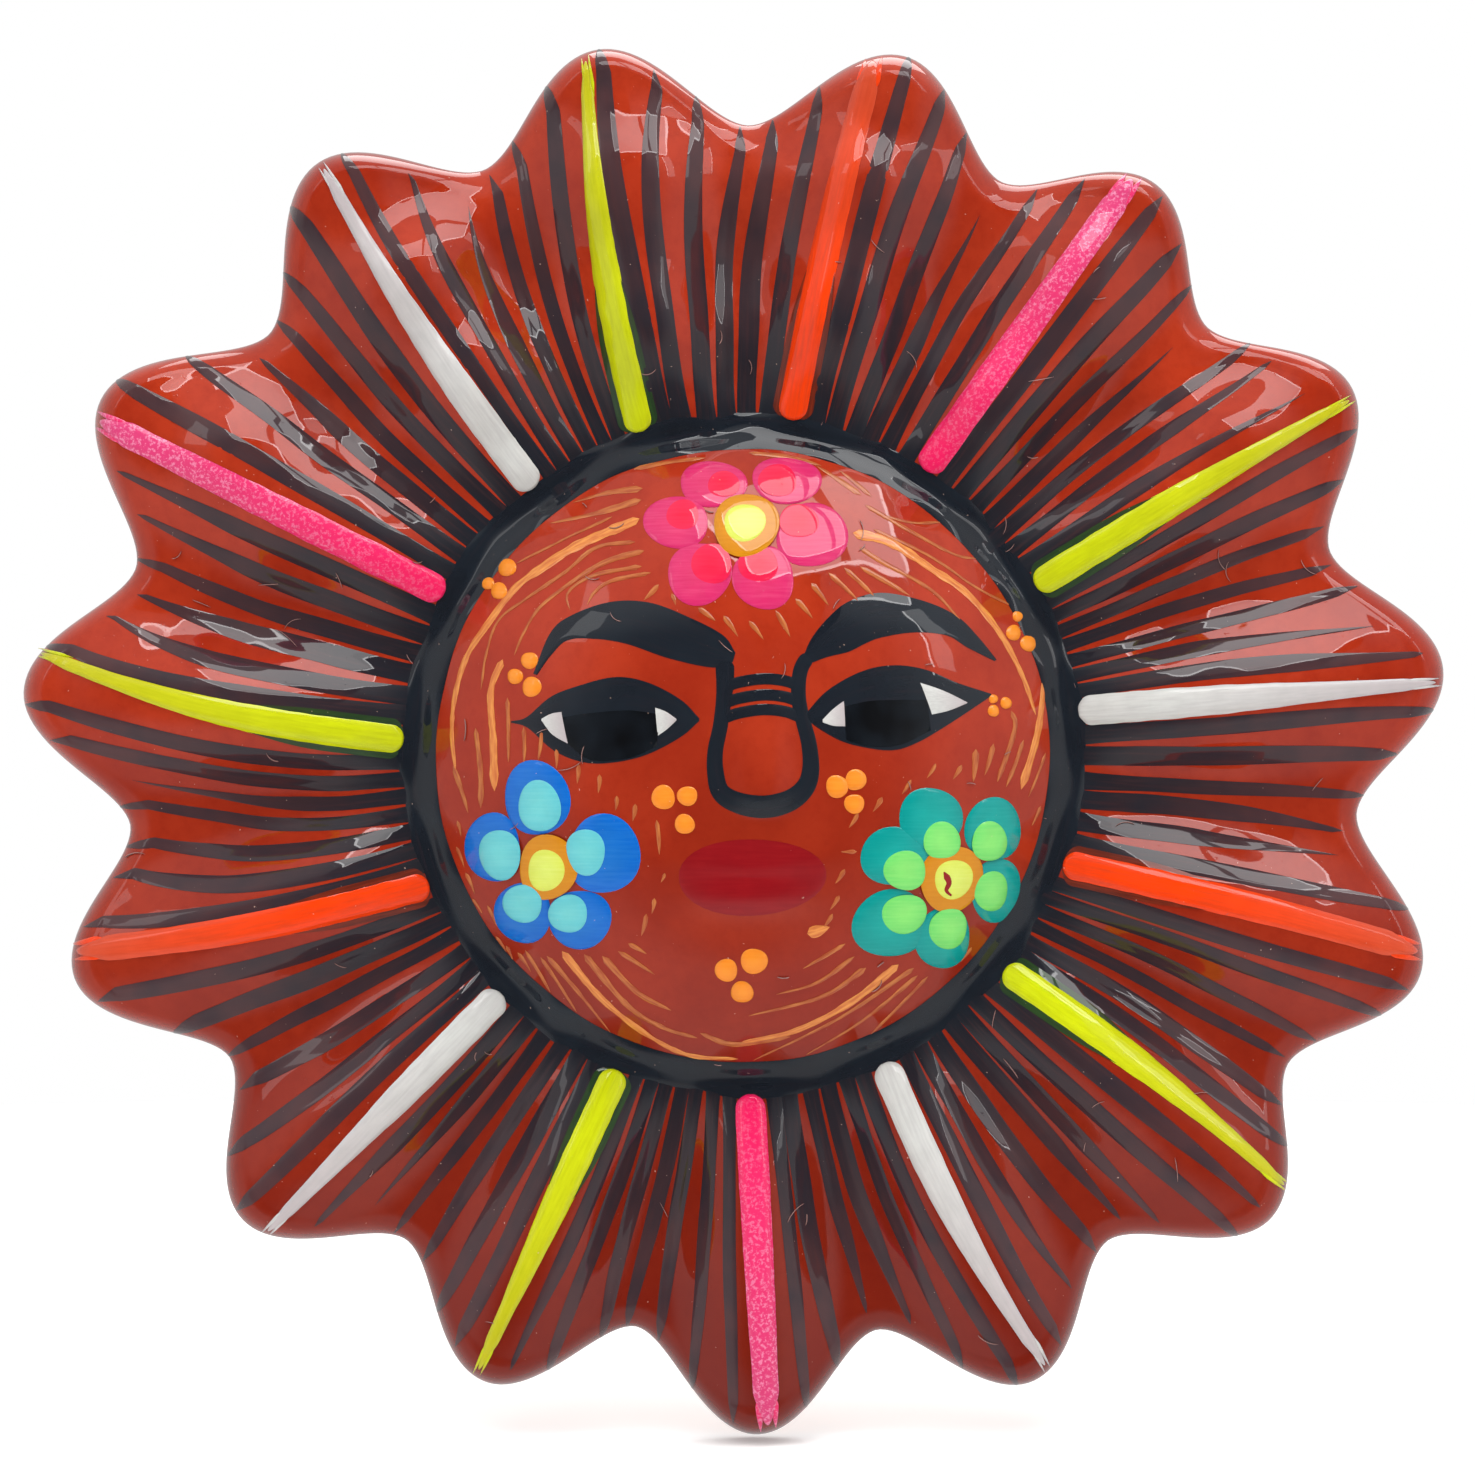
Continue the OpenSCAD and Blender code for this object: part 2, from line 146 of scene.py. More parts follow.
def ray_height(r, a):
    f = sector(a)[1]
    body_r = rim_radius(a) - ROLL_W
    t = np.clip((r - SEAM_R) / (body_r - SEAM_R), -0.15, 1)
    top = ridge_profile(t, f)
    over = np.clip((r - body_r) / ROLL_W, 0, 0.999)
    return RIM_H + (top - RIM_H) * np.sqrt(1 - over ** 2)


# Low swellings and hollows of the face: centre x and y, size across and up, height
SWELLINGS = [
    (-9.5, 1.6, 5.5, 3, -0.3), (11.3, 2.4, 5.5, 3, -0.3), (-8.5, 9.3, 7, 1.9, 0.22), (12, 10, 7, 1.9, 0.22),
    (0.7, -7.9, 4.6, 1.3, 0.42), (0.7, -10.6, 4, 1.3, 0.42), (0.5, -17, 5.5, 3.2, 0.3),
    (-13.5, -8, 6, 6, 0.25), (14.5, -9, 6, 6, 0.25),
]
NOSE_X, NOSE_HALF, NOSE_RISE = 1.4, 2.3, 0.95


def face_relief(x, y):
    """The low modelled features of the face, above the plain dome."""
    nose_side = np.exp(-((x - NOSE_X) / NOSE_HALF) ** 2)
    relief = NOSE_RISE * nose_side * (smooth((7.5 - y) / 9) * smooth((y + 5.2) / 2.6))
    for at_x, at_y, wide, high, rise in SWELLINGS:
        relief = relief + rise * np.exp(-((x - at_x) / wide) ** 2 - ((y - at_y) / high) ** 2)
    return relief


def hand_waves(x, y, size, seed):
    """Soft unevenness left by the hand, between about -1 and 1."""
    flat_x, flat_y = np.ravel(x) / size, np.ravel(y) / size
    waves = [noise.noise(Vector((p, q, seed))) for p, q in zip(flat_x.tolist(), flat_y.tolist())]
    return np.array(waves).reshape(np.shape(x))


SEAM_FILLET = 1.1
# Unevenness left by the hand: depth on the face, more on the rays, more on the upper rays, and size
WAVE_FACE, WAVE_RAYS, WAVE_UPPER, WAVE_SIZE = 0.05, 0.18, 0.3, 5.5
FINE_FACE, FINE_RAYS, FINE_SIZE = 0.01, 0.02, 2.3
# Finger-pressed ripples across the upper rays: depth, length, first radius, how far they wander
RIPPLE, RIPPLE_LENGTH, RIPPLE_START, RIPPLE_WANDER = 0.55, 11, 31, 3


def front_height(x, y):
    """Height of the clay's front above the wall, with the seam between face and rays filled in."""
    r = np.hypot(x, y)
    a = np.degrees(np.arctan2(y, x))
    dome = DOME_C + np.sqrt(np.maximum(DOME_BALL ** 2 - r ** 2, 1))
    dome = dome + face_relief(x, y) * smooth((FACE_R - r) / 3)
    rays = ray_height(r, a)
    near = np.maximum(SEAM_FILLET - np.abs(dome - rays), 0) / SEAM_FILLET
    filled = np.maximum(dome, rays) + near ** 2 * SEAM_FILLET / 4
    top = np.where(r < SEAM_R + 3, filled, rays)
    on_rays = smooth((r - SEAM_R) / 6)
    still = 1 - smooth((r - rim_radius(a) + ROLL_W) / ROLL_W)
    upper = smooth((y + 5) / 30)
    depth = WAVE_FACE + (WAVE_RAYS + WAVE_UPPER * upper) * on_rays
    waves = depth * hand_waves(x, y, WAVE_SIZE, 3.1)
    waves = waves + (FINE_FACE + FINE_RAYS * on_rays) * hand_waves(x, y, FINE_SIZE, 8.7)
    turn = (r - RIPPLE_START + RIPPLE_WANDER * hand_waves(x, y, 12, 2.6)) * 2 * np.pi / RIPPLE_LENGTH
    waves = waves + RIPPLE * np.sin(turn) * on_rays * smooth((y - 16) / 14)
    return top + waves * still


def place(x, y, w):
    """World points, in metres, for plaque coordinates."""
    return np.stack(np.broadcast_arrays(x * MM, -w * MM, y * MM), axis=-1)


# ---- Meshes made of grids ----

class Sheets:
    """Collects grids of points into one mesh, with brush coordinates for the materials."""

    def __init__(self):
        self.points = []
        self.brush = []
        self.faces = []
        self.finish = []
        self.count = 0

    def add(self, points, brush=None, wrap=False, flip=False, finish=0, pole=False):
        """Adds a grid. wrap joins its last column to its first, pole closes its first row to a point."""
        rows, columns = points.shape[:2]
        index = np.arange(rows * columns).reshape(rows, columns) + self.count
        if wrap:
            index = np.concatenate([index, index[:, :1]], axis=1)
        quads = np.stack([index[:-1, :-1], index[1:, :-1], index[1:, 1:], index[:-1, 1:]], axis=-1)
        quads = quads.reshape(-1, 4)
        if flip:
            quads = quads[:, ::-1]
        if brush is None:
            brush = np.zeros((rows, columns, 3))
        brush = np.broadcast_to(brush, (rows, columns, 3))
        self.points.append(points.reshape(-1, 3))
        self.brush.append(brush.reshape(-1, 3))
        self.faces += quads.tolist()
        self.finish += [finish] * len(quads)
        self.count += rows * columns
        if pole:
            self.points.append(points[0].mean(axis=0)[None])
            self.brush.append(brush[0].mean(axis=0)[None])
            fan = np.stack([index[0, :-1], index[0, 1:], np.full(columns, self.count)], axis=-1)
            self.faces += (fan[:, ::-1] if flip else fan).tolist()
            self.finish += [finish] * columns
            self.count += 1

    def build(self, name, slot, materials, replaces=(), body="plaque"):
        mesh = bpy.data.meshes.new(name)
        mesh.from_pydata(np.concatenate(self.points).tolist(), [], self.faces)
        brush = mesh.attributes.new("brush", "FLOAT_VECTOR", "POINT")
        brush.data.foreach_set("vector", np.concatenate(self.brush).astype(np.float32).ravel())
        mesh.polygons.foreach_set("material_index", np.array(self.finish, np.int32))
        mesh.polygons.foreach_set("use_smooth", np.ones(len(self.faces), bool))
        for material in materials:
            mesh.materials.append(material)
        mesh.update()
        piece = bpy.data.objects.new(name, mesh)
        bpy.context.scene.collection.objects.link(piece)
        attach(piece, body)
        if replaces:
            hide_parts(*replaces)


def outward(points, wrap=False):
    """Unit normals of a grid that faces out of the wall."""
    if wrap:
        around = np.roll(points, -1, axis=1) - np.roll(points, 1, axis=1)
    else:
        around = np.gradient(points, axis=1)
    normal = np.cross(np.gradient(points, axis=0), around)
    length = np.linalg.norm(normal, axis=-1, keepdims=True)
    normal = np.where(length > 1e-15, normal / np.maximum(length, 1e-15), (0, -1, 0))
    return np.where(normal[..., 1:2] > 0, -normal, normal)


def brush_at(along, across, way):
    """Brush coordinates: millimetres along and across the brush line, and 0 to 1 along it."""
    return np.stack(np.broadcast_arrays(along, across, way), axis=-1)


SUNK = 0.05    # how deep the underside of a layer of paint lies in what it is painted on
EDGE_T = 0.02    # thickness of a layer of paint at its edge


def paint(sheets, x, y, lift, brush=None, wrap=False, pole=False, ground=0.0):
    """Adds a closed layer of paint: lift is its thickness at each grid point, ground what is under it."""
    base = place(x, y, front_height(x, y))
    normal = outward(base, wrap)
    top = base + normal * ((lift + ground + EDGE_T) * MM)[..., None]
    edge = np.zeros(np.shape(x), bool)
    edge[-1, :] = True
    edge[0, :] = not pole
    if not wrap:
        edge[:, 0] = edge[:, -1] = True
    under = np.where(edge[..., None], top, base - normal * ((SUNK - ground) * MM))
    turn = np.cross(top[1, 0] - top[0, 0], top[0, 1] - top[0, 0])[1] > 0
    sheets.add(top, brush, wrap, flip=not turn, pole=pole)
    sheets.add(under, brush, wrap, flip=turn, pole=pole)


def through(points, count):
    """A smooth curve of count points through a few given ones."""
    p = np.array(points, float)
    p = np.vstack([2 * p[0] - p[1], p, 2 * p[-1] - p[-2]])
    steps = np.linalg.norm(np.diff(p[1:-1], axis=0), axis=1)
    along = np.append(0, np.cumsum(steps))
    d = np.linspace(0, along[-1], count)
    i = np.clip(np.searchsorted(along, d, side="right") - 1, 0, len(steps) - 1)
    t = ((d - along[i]) / steps[i])[:, None]
    a, b, c, e = p[i], p[i + 1], p[i + 2], p[i + 3]
    return b + t / 2 * (c - a + t * (2 * a - 5 * b + 4 * c - e + t * (3 * (b - c) + e - a)))


ACROSS = np.linspace(-1, 1, 7)
APART = 97    # millimetres between two brush lines' streaks


def across_profile(flat):
    """Thickness across a layer: flat is how flat-topped it is."""
    return (1 - np.abs(ACROSS) ** flat) ** 0.5


def ribbon(sheets, line, widths, thick, seed=0.0, flat=4, ground=0.0):
    """A brush line along line, with its width given at each point."""
    line = np.asarray(line)
    way = np.gradient(line, axis=0)
    way = way / np.linalg.norm(way, axis=1, keepdims=True)
    side = np.stack([-way[:, 1], way[:, 0]], axis=1)
    half = np.asarray(widths)[:, None] / 2
    x = line[:, :1] + side[:, :1] * half * ACROSS
    y = line[:, 1:] + side[:, 1:] * half * ACROSS
    along = np.append(0, np.cumsum(np.linalg.norm(np.diff(line, axis=0), axis=1)))
    full = np.minimum(1, np.asarray(widths) / np.max(widths) * 1.6)[:, None]
    brush = brush_at(along[:, None] + APART * seed, half * ACROSS, along[:, None] / along[-1])
    paint(sheets, x, y, thick * full * across_profile(flat), brush, ground=ground)


def band(sheets, upper, lower, count, thick, seed=0.0, ground=0.0):
    """Flat paint between two curves that run the same way."""
    top, low = through(upper, count), through(lower, count)
    share = (ACROSS[None, :, None] + 1) / 2
    grid = mix(low[:, None, :], top[:, None, :], share)
    along = np.linspace(0, 1, count)[:, None]
    brush = brush_at(along * 20 + APART * seed, ACROSS[None, :] * 2, along)
    paint(sheets, grid[..., 0], grid[..., 1], thick * np.ones((count, 1)) * across_profile(4), brush,
          ground=ground)


BLOB_RINGS, BLOB_SEGMENTS = 9, 36
BLOB_POWER = 2.1    # 2 is an ellipse, more is squarer


def blob(sheets, at, size, thick, seed, dome, ground=0.0, wobble=0.05):
    """A rounded dab: size is its full width and height, dome how flat-topped it is."""
    s = np.sin(np.linspace(0.02, 1, BLOB_RINGS) * np.pi / 2)[:, None]
    a = np.linspace(0, 2 * np.pi, BLOB_SEGMENTS, endpoint=False)[None, :]
    c, d = np.cos(a), np.sin(a)
    shape = (np.abs(c) ** BLOB_POWER + np.abs(d) ** BLOB_POWER) ** (-1 / BLOB_POWER)
    shape = shape * (1 + wobble * (np.sin(2 * a + seed) * 0.5 + np.sin(3 * a + 2.3 * seed) * 0.6))
    u, v = s * shape * c * size[0] / 2, s * shape * d * size[1] / 2
    lift = thick * (1 - s ** dome) ** 0.6 * np.ones_like(a)
    brush = brush_at(u + APART * seed, v, s * np.ones_like(a))
    paint(sheets, at[0] + u, at[1] + v, lift, brush, wrap=True, pole=True, ground=ground)


# ---- Materials ----

def linear(rgb):
    """A shader colour for an 8-bit sRGB one."""
    c = np.array(rgb) / 255
    c = np.where(c <= 0.04045, c / 12.92, ((c + 0.055) / 1.055) ** 2.4)
    return (*c.tolist(), 1.0)


def map_range(tree, value, limits, kind="LINEAR"):
    """A value mapped from between the first two limits to between the last two."""
    made = tree.nodes.new("ShaderNodeMapRange")
    made.interpolation_type = kind
    for setting, limit in zip(("From Min", "From Max", "To Min", "To Max"), limits):
        made.inputs[setting].default_value = limit
    tree.links.new(value, made.inputs["Value"])
    return made.outputs["Result"]


LACQUER_ROUGHNESS = 0.03


class Shader:
    """Builds one node material. A lacquered one reflects by its coat alone, see varnish."""

    def __init__(self, name, roughness, specular=0.0, metallic=0.0, lacquered=False):
        self.material = bpy.data.materials.new(name)
        self.material.use_nodes = True
        self.tree = self.material.node_tree
        self.bsdf = self.tree.nodes["Principled BSDF"]
        self.bsdf.inputs["Roughness"].default_value = roughness
        self.bsdf.inputs["Metallic"].default_value = metallic
        self.bsdf.inputs["Specular IOR Level"].default_value = specular
        self.bsdf.inputs["Coat Weight"].default_value = float(lacquered)
        self.bsdf.inputs["Coat Roughness"].default_value = LACQUER_ROUGHNESS
        self.coords = self.node("ShaderNodeTexCoord").outputs["Object"]

    def node(self, kind, **settings):
        made = self.tree.nodes.new(kind)
        for key, value in settings.items():
            setattr(made, key, value)
        return made

    def link(self, out, into):
        self.tree.links.new(out, into)

    def put(self, value, into):
        if isinstance(value, bpy.types.NodeSocket):
            self.link(value, into)
        else:
            into.default_value = value

    def brush(self, along, across):
        """Coordinates along and across the brush line, in strides of the given millimetres."""
        scaled = self.node("ShaderNodeVectorMath", operation="MULTIPLY")
        self.link(self.brush_vector(), scaled.inputs[0])
        scaled.inputs[1].default_value = (1 / along, 1 / across, 0)
        return scaled.outputs[0]

    def brush_vector(self):
        return self.node("ShaderNodeAttribute", attribute_name="brush").outputs["Vector"]

    def third(self, vector):
        split = self.node("ShaderNodeSeparateXYZ")
        self.link(vector, split.inputs[0])
        return split.outputs["Z"]

    def way_along(self):
        """0 at a brush line's start, 1 at its end."""
        return self.third(self.brush_vector())

    def noise(self, size, detail=3.0, coords=None, roughness=0.55):
        """Noise with features of about size millimetres, or of 1 in given coordinates."""
        made = self.node("ShaderNodeTexNoise")
        made.inputs["Scale"].default_value = 1.0 if coords is not None else 1 / (size * MM)
        made.inputs["Detail"].default_value = detail
        made.inputs["Roughness"].default_value = roughness
        self.link(coords if coords is not None else self.coords, made.inputs["Vector"])
        return made.outputs["Fac"]

    def ramp(self, value, low, high, to_low=0.0, to_high=1.0):
        return map_range(self.tree, value, (low, high, to_low, to_high))

    def math(self, operation, a, b):
        made = self.node("ShaderNodeMath", operation=operation)
        self.put(a, made.inputs[0])
        self.put(b, made.inputs[1])
        return made.outputs[0]

    def blend(self, share, a, b):
        made = self.node("ShaderNodeMix", data_type="RGBA")
        self.put(share, made.inputs["Factor"])
        self.put(linear(a) if isinstance(a, tuple) else a, made.inputs["A"])
        self.put(linear(b) if isinstance(b, tuple) else b, made.inputs["B"])
        return made.outputs["Result"]

    def layer(self, value, limits, under, over):
        """One colour over another, as far as a value is between the limits."""
        return self.blend(self.ramp(value, *limits), under, over)

    def height(self):
        """The point's height above the plaque's middle, in metres."""
        return self.third(self.coords)

    def bump(self, value, depth, on_coat=False):
        made = self.node("ShaderNodeBump")
        made.inputs["Distance"].default_value = depth * MM
        made.inputs["Strength"].default_value = 1.0
        self.link(value, made.inputs["Height"])
        self.link(made.outputs[0], self.bsdf.inputs["Normal"])
        if on_coat:
            self.link(made.outputs[0], self.bsdf.inputs["Coat Normal"])

    def colour(self, value):
        self.link(value, self.bsdf.inputs["Base Color"])
        return self.material


SPECK = (214, 178, 160)


def varnish(shader, colour, specked=True):
    """Finishes a material with brushed lacquer: slightly uneven, with dust in it and specks under it."""
    waves = shader.noise(2.6, detail=1.0)
    dust = shader.ramp(shader.noise(0.45, detail=2.0), 0.7, 0.78)
    both = shader.math("ADD", waves, shader.math("MULTIPLY", dust, 0.3))
    shader.bump(both, 0.022, on_coat=True)
    if specked:
        colour = shader.layer(shader.noise(0.3, detail=1.0), (0.79, 0.82, 0, 0.5), colour, SPECK)
    return shader.colour(colour)


def painted_clay():
    shader = Shader("painted_clay", 0.5, lacquered=True)
    red = shader.layer(shader.noise(9, detail=4), (0.35, 0.65), (150, 40, 19), (170, 52, 27))
    streaks = shader.noise(1.1, detail=4, roughness=0.7)
    red = shader.layer(streaks, (0.45, 0.75, 0, 0.35), red, (134, 26, 10))
    # Painted shade: the red is mixed towards a dark red lower down the plaque, as if the lower rays lay in
    # shade
    red = shader.layer(shader.height(), (-0.05, 0.01, 0.85, 0), red, (98, 22, 12))
    return varnish(shader, red)


def bare_clay(name="bare_clay"):
    shader = Shader(name, 0.86, specular=0.25)
    cloud, grit = shader.noise(7, detail=5), shader.noise(0.5, detail=3)
    buff = shader.layer(cloud, (0.35, 0.7), (176, 98, 66), (198, 124, 88))
    buff = shader.layer(grit, (0.58, 0.7, 0, 0.6), buff, (150, 78, 52))
    buff = shader.layer(shader.noise(0.9, detail=1), (0.7, 0.76, 0, 0.7), buff, (216, 176, 140))
    shader.bump(shader.math("ADD", grit, shader.math("MULTIPLY", cloud, 1.5)), 0.12)
    return shader.colour(buff)


def enamel(name, start, end, streak, streak_share, fade=(0.2, 1.0)):
    """Brushed paint under lacquer, from its colour at the start of a line to that at its end."""
    shader = Shader(name, 0.4, lacquered=True)
    colour = shader.layer(shader.way_along(), fade, start, end)
    hairs = shader.noise(1, detail=3, coords=shader.brush(3.0, 0.22))
    colour = shader.layer(hairs, (0.4, 0.75, 0, streak_share), colour, streak)
    darker = tuple(int(c * 0.72) for c in start)
    colour = shader.layer(shader.noise(1.5, detail=3), (0.35, 0.7, 0, 0.14), colour, darker)
    return varnish(shader, colour)


def speckled_pink():
    shader = Shader("speckled_pink", 0.45, lacquered=True)
    colour = shader.layer(shader.way_along(), (0.0, 1.0), (234, 30, 92), (206, 66, 116))
    grain = shader.ramp(shader.noise(0.28, detail=2, roughness=0.7), 0.5, 0.62)
    pale = shader.math("MULTIPLY", grain, shader.ramp(shader.way_along(), 0.0, 0.8, 0.15, 0.75))
    return varnish(shader, shader.blend(pale, colour, (226, 140, 172)), specked=False)


def black_paint(name, start, end, worn):
    """Black, thinner and browner towards the end of a brush line. worn is how much red shows through."""
    shader = Shader(name, 0.42, lacquered=True)
    colour = shader.layer(shader.way_along(), (0.05, 0.85), start, end)
    hairs = shader.noise(1, detail=3, coords=shader.brush(5.0, 0.3))
    colour = shader.layer(hairs, (0.5, 0.8, 0, worn), colour, (84, 46, 44))
    colour = shader.layer(shader.noise(4.0, detail=2), (0.4, 0.7, 0, 0.5), colour, (30, 37, 45))
    return varnish(shader, colour)


def gold_hair(name, pale, dull):
    shader = Shader(name, 0.45, lacquered=True)
    hairs = shader.noise(1, detail=2, coords=shader.brush(1.6, 0.2))
    return varnish(shader, shader.layer(hairs, (0.35, 0.7), dull, pale), specked=False)


def wire_metal():
    shader = Shader("galvanised_wire", 0.34, specular=0.5, metallic=1.0)
    grey = shader.layer(shader.noise(1.2, detail=3), (0.35, 0.7), (150, 152, 154), (184, 186, 188))
    grey = shader.layer(shader.noise(0.7, detail=2), (0.64, 0.74, 0, 0.7), grey, (110, 84, 64))
    shader.bump(shader.noise(0.3, detail=2), 0.02)
    return shader.colour(grey)


RED = painted_clay()
BARE = bare_clay()
STRIPE_BLACK = black_paint("stripe_black", (28, 30, 36), (76, 50, 52), 0.35)
LINE_BLACK = black_paint("line_black", (24, 28, 35), (26, 31, 38), 0.08)
PUPIL_BLACK = black_paint("pupil_black", (8, 9, 12), (10, 11, 14), 0.0)
WIRE = wire_metal()
GOLD = gold_hair("gold_hair", (222, 146, 74), (192, 104, 54))
FINE_GOLD = gold_hair("fine_gold_hair", (188, 112, 60), (156, 72, 42))
STROKE_PAINTS = {
    "white": enamel("white_paint", (200, 200, 196), (180, 168, 170), (170, 166, 166), 0.5),
    "yellow": enamel("yellow_paint", (198, 208, 18), (184, 176, 34), (164, 168, 16), 0.5),
    "pink": speckled_pink(),
    "orange": enamel("orange_paint", (238, 62, 10), (196, 74, 46), (184, 62, 34), 0.55, (0.35, 0.95)),
}

# Fluorescent paint that bled into the black round a stroke's start
HALOS = {
    "yellow": enamel("yellow_bleed", (38, 58, 34), (70, 60, 40), (52, 84, 34), 0.5),
    "orange": enamel("orange_bleed", (92, 34, 22), (120, 44, 28), (150, 52, 28), 0.5),
}

# ---- Clay ----

RAY_COLUMNS = 720
BODY_ROWS, ROLL_ROWS, UNDER_ROWS, BACK_ROWS, WALL_ROWS = 60, 12, 4, 36, 6
BACK_EDGE = 1.5    # the bare back is flat for this far from its edges


def build_rays():
    """The fluted disc: front, rolled rim, flat back and the wall of its hole, round one closed section."""
    sheets = Sheets()
    a = np.linspace(0, 360, RAY_COLUMNS, endpoint=False)[None, :]
    rim = rim_radius(a)
    body_r = rim - ROLL_W
    c, s = np.cos(np.radians(a)), np.sin(np.radians(a))
    inner = mix(SEAM_R, body_r, np.linspace(0, 1, BODY_ROWS)[:, None])
    roll = body_r + ROLL_W * np.sin(np.linspace(0, np.pi / 2, ROLL_ROWS)[1:, None])
    front_r = np.concatenate([inner, roll])
    front_w = front_height(front_r * c, front_r * s)
    front_w[0] = np.minimum(front_w[0], MOAT_H - 0.1)
    front_w[-1] = RIM_H
    under = np.linspace(0, np.pi / 2, UNDER_ROWS)[1:, None]
    under_r = rim - RIM_H * (1 - np.cos(under))
    under_w = RIM_H * (1 - np.sin(under)) + 0 * a
    front_r = np.concatenate([front_r, under_r])
    front_w = np.concatenate([front_w, under_w])
    sheets.add(place(front_r * c, front_r * s, front_w), wrap=True, flip=True)
    back_r = mix(under_r[-1:], SEAM_R + 0 * a, np.linspace(0, 1, BACK_ROWS)[:, None])
    inside = smooth((back_r - SEAM_R) / BACK_EDGE) * smooth((rim - RIM_H - back_r) / BACK_EDGE)
    x, y = back_r * c, back_r * s
    back_w = inside * (0.06 + 0.06 * hand_waves(x, y, 4, 1.7))
    sheets.add(place(x, y, back_w), wrap=True, flip=True, finish=1)
    wall_w = np.linspace(0, 1, WALL_ROWS)[:, None] * front_w[:1]
    wall = place(SEAM_R * c, SEAM_R * s, wall_w)
    sheets.add(wall, wrap=True, flip=True, finish=1)
    sheets.build("clay_rays", "painted_clay", [RED, BARE], ["ray_disc"])


FACE_COLUMNS, FACE_ROWS, CEILING_ROWS, SIDE_ROWS, FOOT_ROWS = 300, 110, 48, 8, 6
POLE = 0.004    # share of the way out at which a domed grid starts
HOLLOW_ROUGH = 0.12


def build_face():
    """The domed face: painted outside, bare inside its hollow."""
    sheets = Sheets()
    a = np.linspace(0, 2 * np.pi, FACE_COLUMNS, endpoint=False)[None, :]
    c, s = np.cos(a), np.sin(a)
    r = FACE_R * np.sin(np.linspace(POLE, 1, FACE_ROWS) * np.pi / 2)[:, None] + 0 * a
    r = np.minimum(r, FACE_R)
    w = front_height(r * c, r * s)
    w[-1] = FACE_EDGE_H
    sheets.add(place(r * c, r * s, w), wrap=True, pole=True)
    side_w = np.linspace(FACE_EDGE_H, 0, SIDE_ROWS)[:, None]
    sheets.add(place(FACE_R * c, FACE_R * s, side_w), wrap=True, finish=1)
    foot_r = np.linspace(FACE_R, HOLLOW_R, FOOT_ROWS)[:, None]
    foot_w = 0.25 * smooth((FACE_R - foot_r) / 0.8) * smooth((foot_r - HOLLOW_R) / 0.8)
    sheets.add(place(foot_r * c, foot_r * s, foot_w), wrap=True, finish=1)
    top = DOME_C + np.sqrt(HOLLOW_BALL ** 2 - HOLLOW_R ** 2)
    wall_w = np.linspace(0, top, SIDE_ROWS)[:, None] + 0 * a
    rough = HOLLOW_ROUGH * hand_waves(HOLLOW_R * c + 0 * wall_w, HOLLOW_R * s + wall_w, 3, 5.5)
    rough = rough * smooth(wall_w / 1.5)
    wall_r = HOLLOW_R + 0.1 - np.abs(rough)
    wall_r[0] = HOLLOW_R
    sheets.add(place(wall_r * c, wall_r * s, wall_w), wrap=True, finish=1)
    ceiling_r = HOLLOW_R * np.sin(np.linspace(POLE, 1, CEILING_ROWS) * np.pi / 2)[:, None] + 0 * a
    ceiling_r[-1] = wall_r[-1]
    x, y = ceiling_r * c, ceiling_r * s
    ceiling_w = DOME_C + np.sqrt(HOLLOW_BALL ** 2 - np.minimum(ceiling_r, HOLLOW_R) ** 2)
    rough = HOLLOW_ROUGH * np.abs(hand_waves(x, y, 3.5, 6.1))
    ceiling_w = ceiling_w - rough * smooth((HOLLOW_R - ceiling_r) / 2)
    ceiling_w[-1] = wall_w[-1]
    sheets.add(place(x, y, ceiling_w), wrap=True, flip=True, finish=1, pole=True)
    sheets.build("clay_face", "painted_clay", [RED, BARE], ["face_dome"])


# ---- Black ring and stripes ----

THIN = 0.03    # thickness of flat paint
RING_IN, RING_OUT, RING_POOL = 23.55, 26.3, 0.24
RING_COLUMNS, RING_ROWS = 540, 12
RING_WAVES = 9    # radius of the circle on which the ring's unevenness is read


def build_ring():
    """The black slip over the seam, pooled thicker and thinner."""
    sheets = Sheets()
    a = np.linspace(0, 2 * np.pi, RING_COLUMNS, endpoint=False)[None, :]
    c, s = np.cos(a), np.sin(a)
    x, y = c * RING_WAVES, s * RING_WAVES
    r_in = RING_IN + 0.16 * hand_waves(x, y, 2.0, 4.4)
    r_out = RING_OUT + 0.5 * hand_waves(x, y, 1.1, 9.4)
    across = np.linspace(0, 1, RING_ROWS)[:, None]
    r = mix(r_in, r_out, across)
    pooled = RING_POOL + 0.3 * hand_waves(x, y, 1.3, 12.2)
    lift = np.maximum(pooled, THIN) * (1 - np.abs(2 * across - 1) ** 3) ** 0.7
    paint(sheets, r * c, r * s, lift, brush_at(a * FACE_R, r - FACE_R, 0 * a), wrap=True)
    sheets.build("black_ring", "black_slip", [LINE_BLACK])


def stroke_ends(k):
    start = np.radians(RAY_ANGLES[k] + STROKE_IN_TURN[k])
    end = np.radians(RAY_ANGLES[k] + STROKE_OUT_TURN[k])
    r_in, r_out = SEAM_R + STROKE_IN, TIPS[k] - STROKE_OUT
    return (np.array([r_in * np.cos(start), r_in * np.sin(start)]),
            np.array([r_out * np.cos(end), r_out * np.sin(end)]))


def stroke_angle(k, r):
    """Direction of stroke k's centre line at radius r, in degrees, going on past its ends."""
    start, end = stroke_ends(k)
    r_in, r_out = np.hypot(*start), np.hypot(*end)
    t = (r - r_in) / (r_out - r_in)
    bow = np.degrees(BOW[k] / r) * np.sin(np.pi * np.clip(t, 0, 1))
    return RAY_ANGLES[k] + mix(STROKE_IN_TURN[k], STROKE_OUT_TURN[k], t) + bow


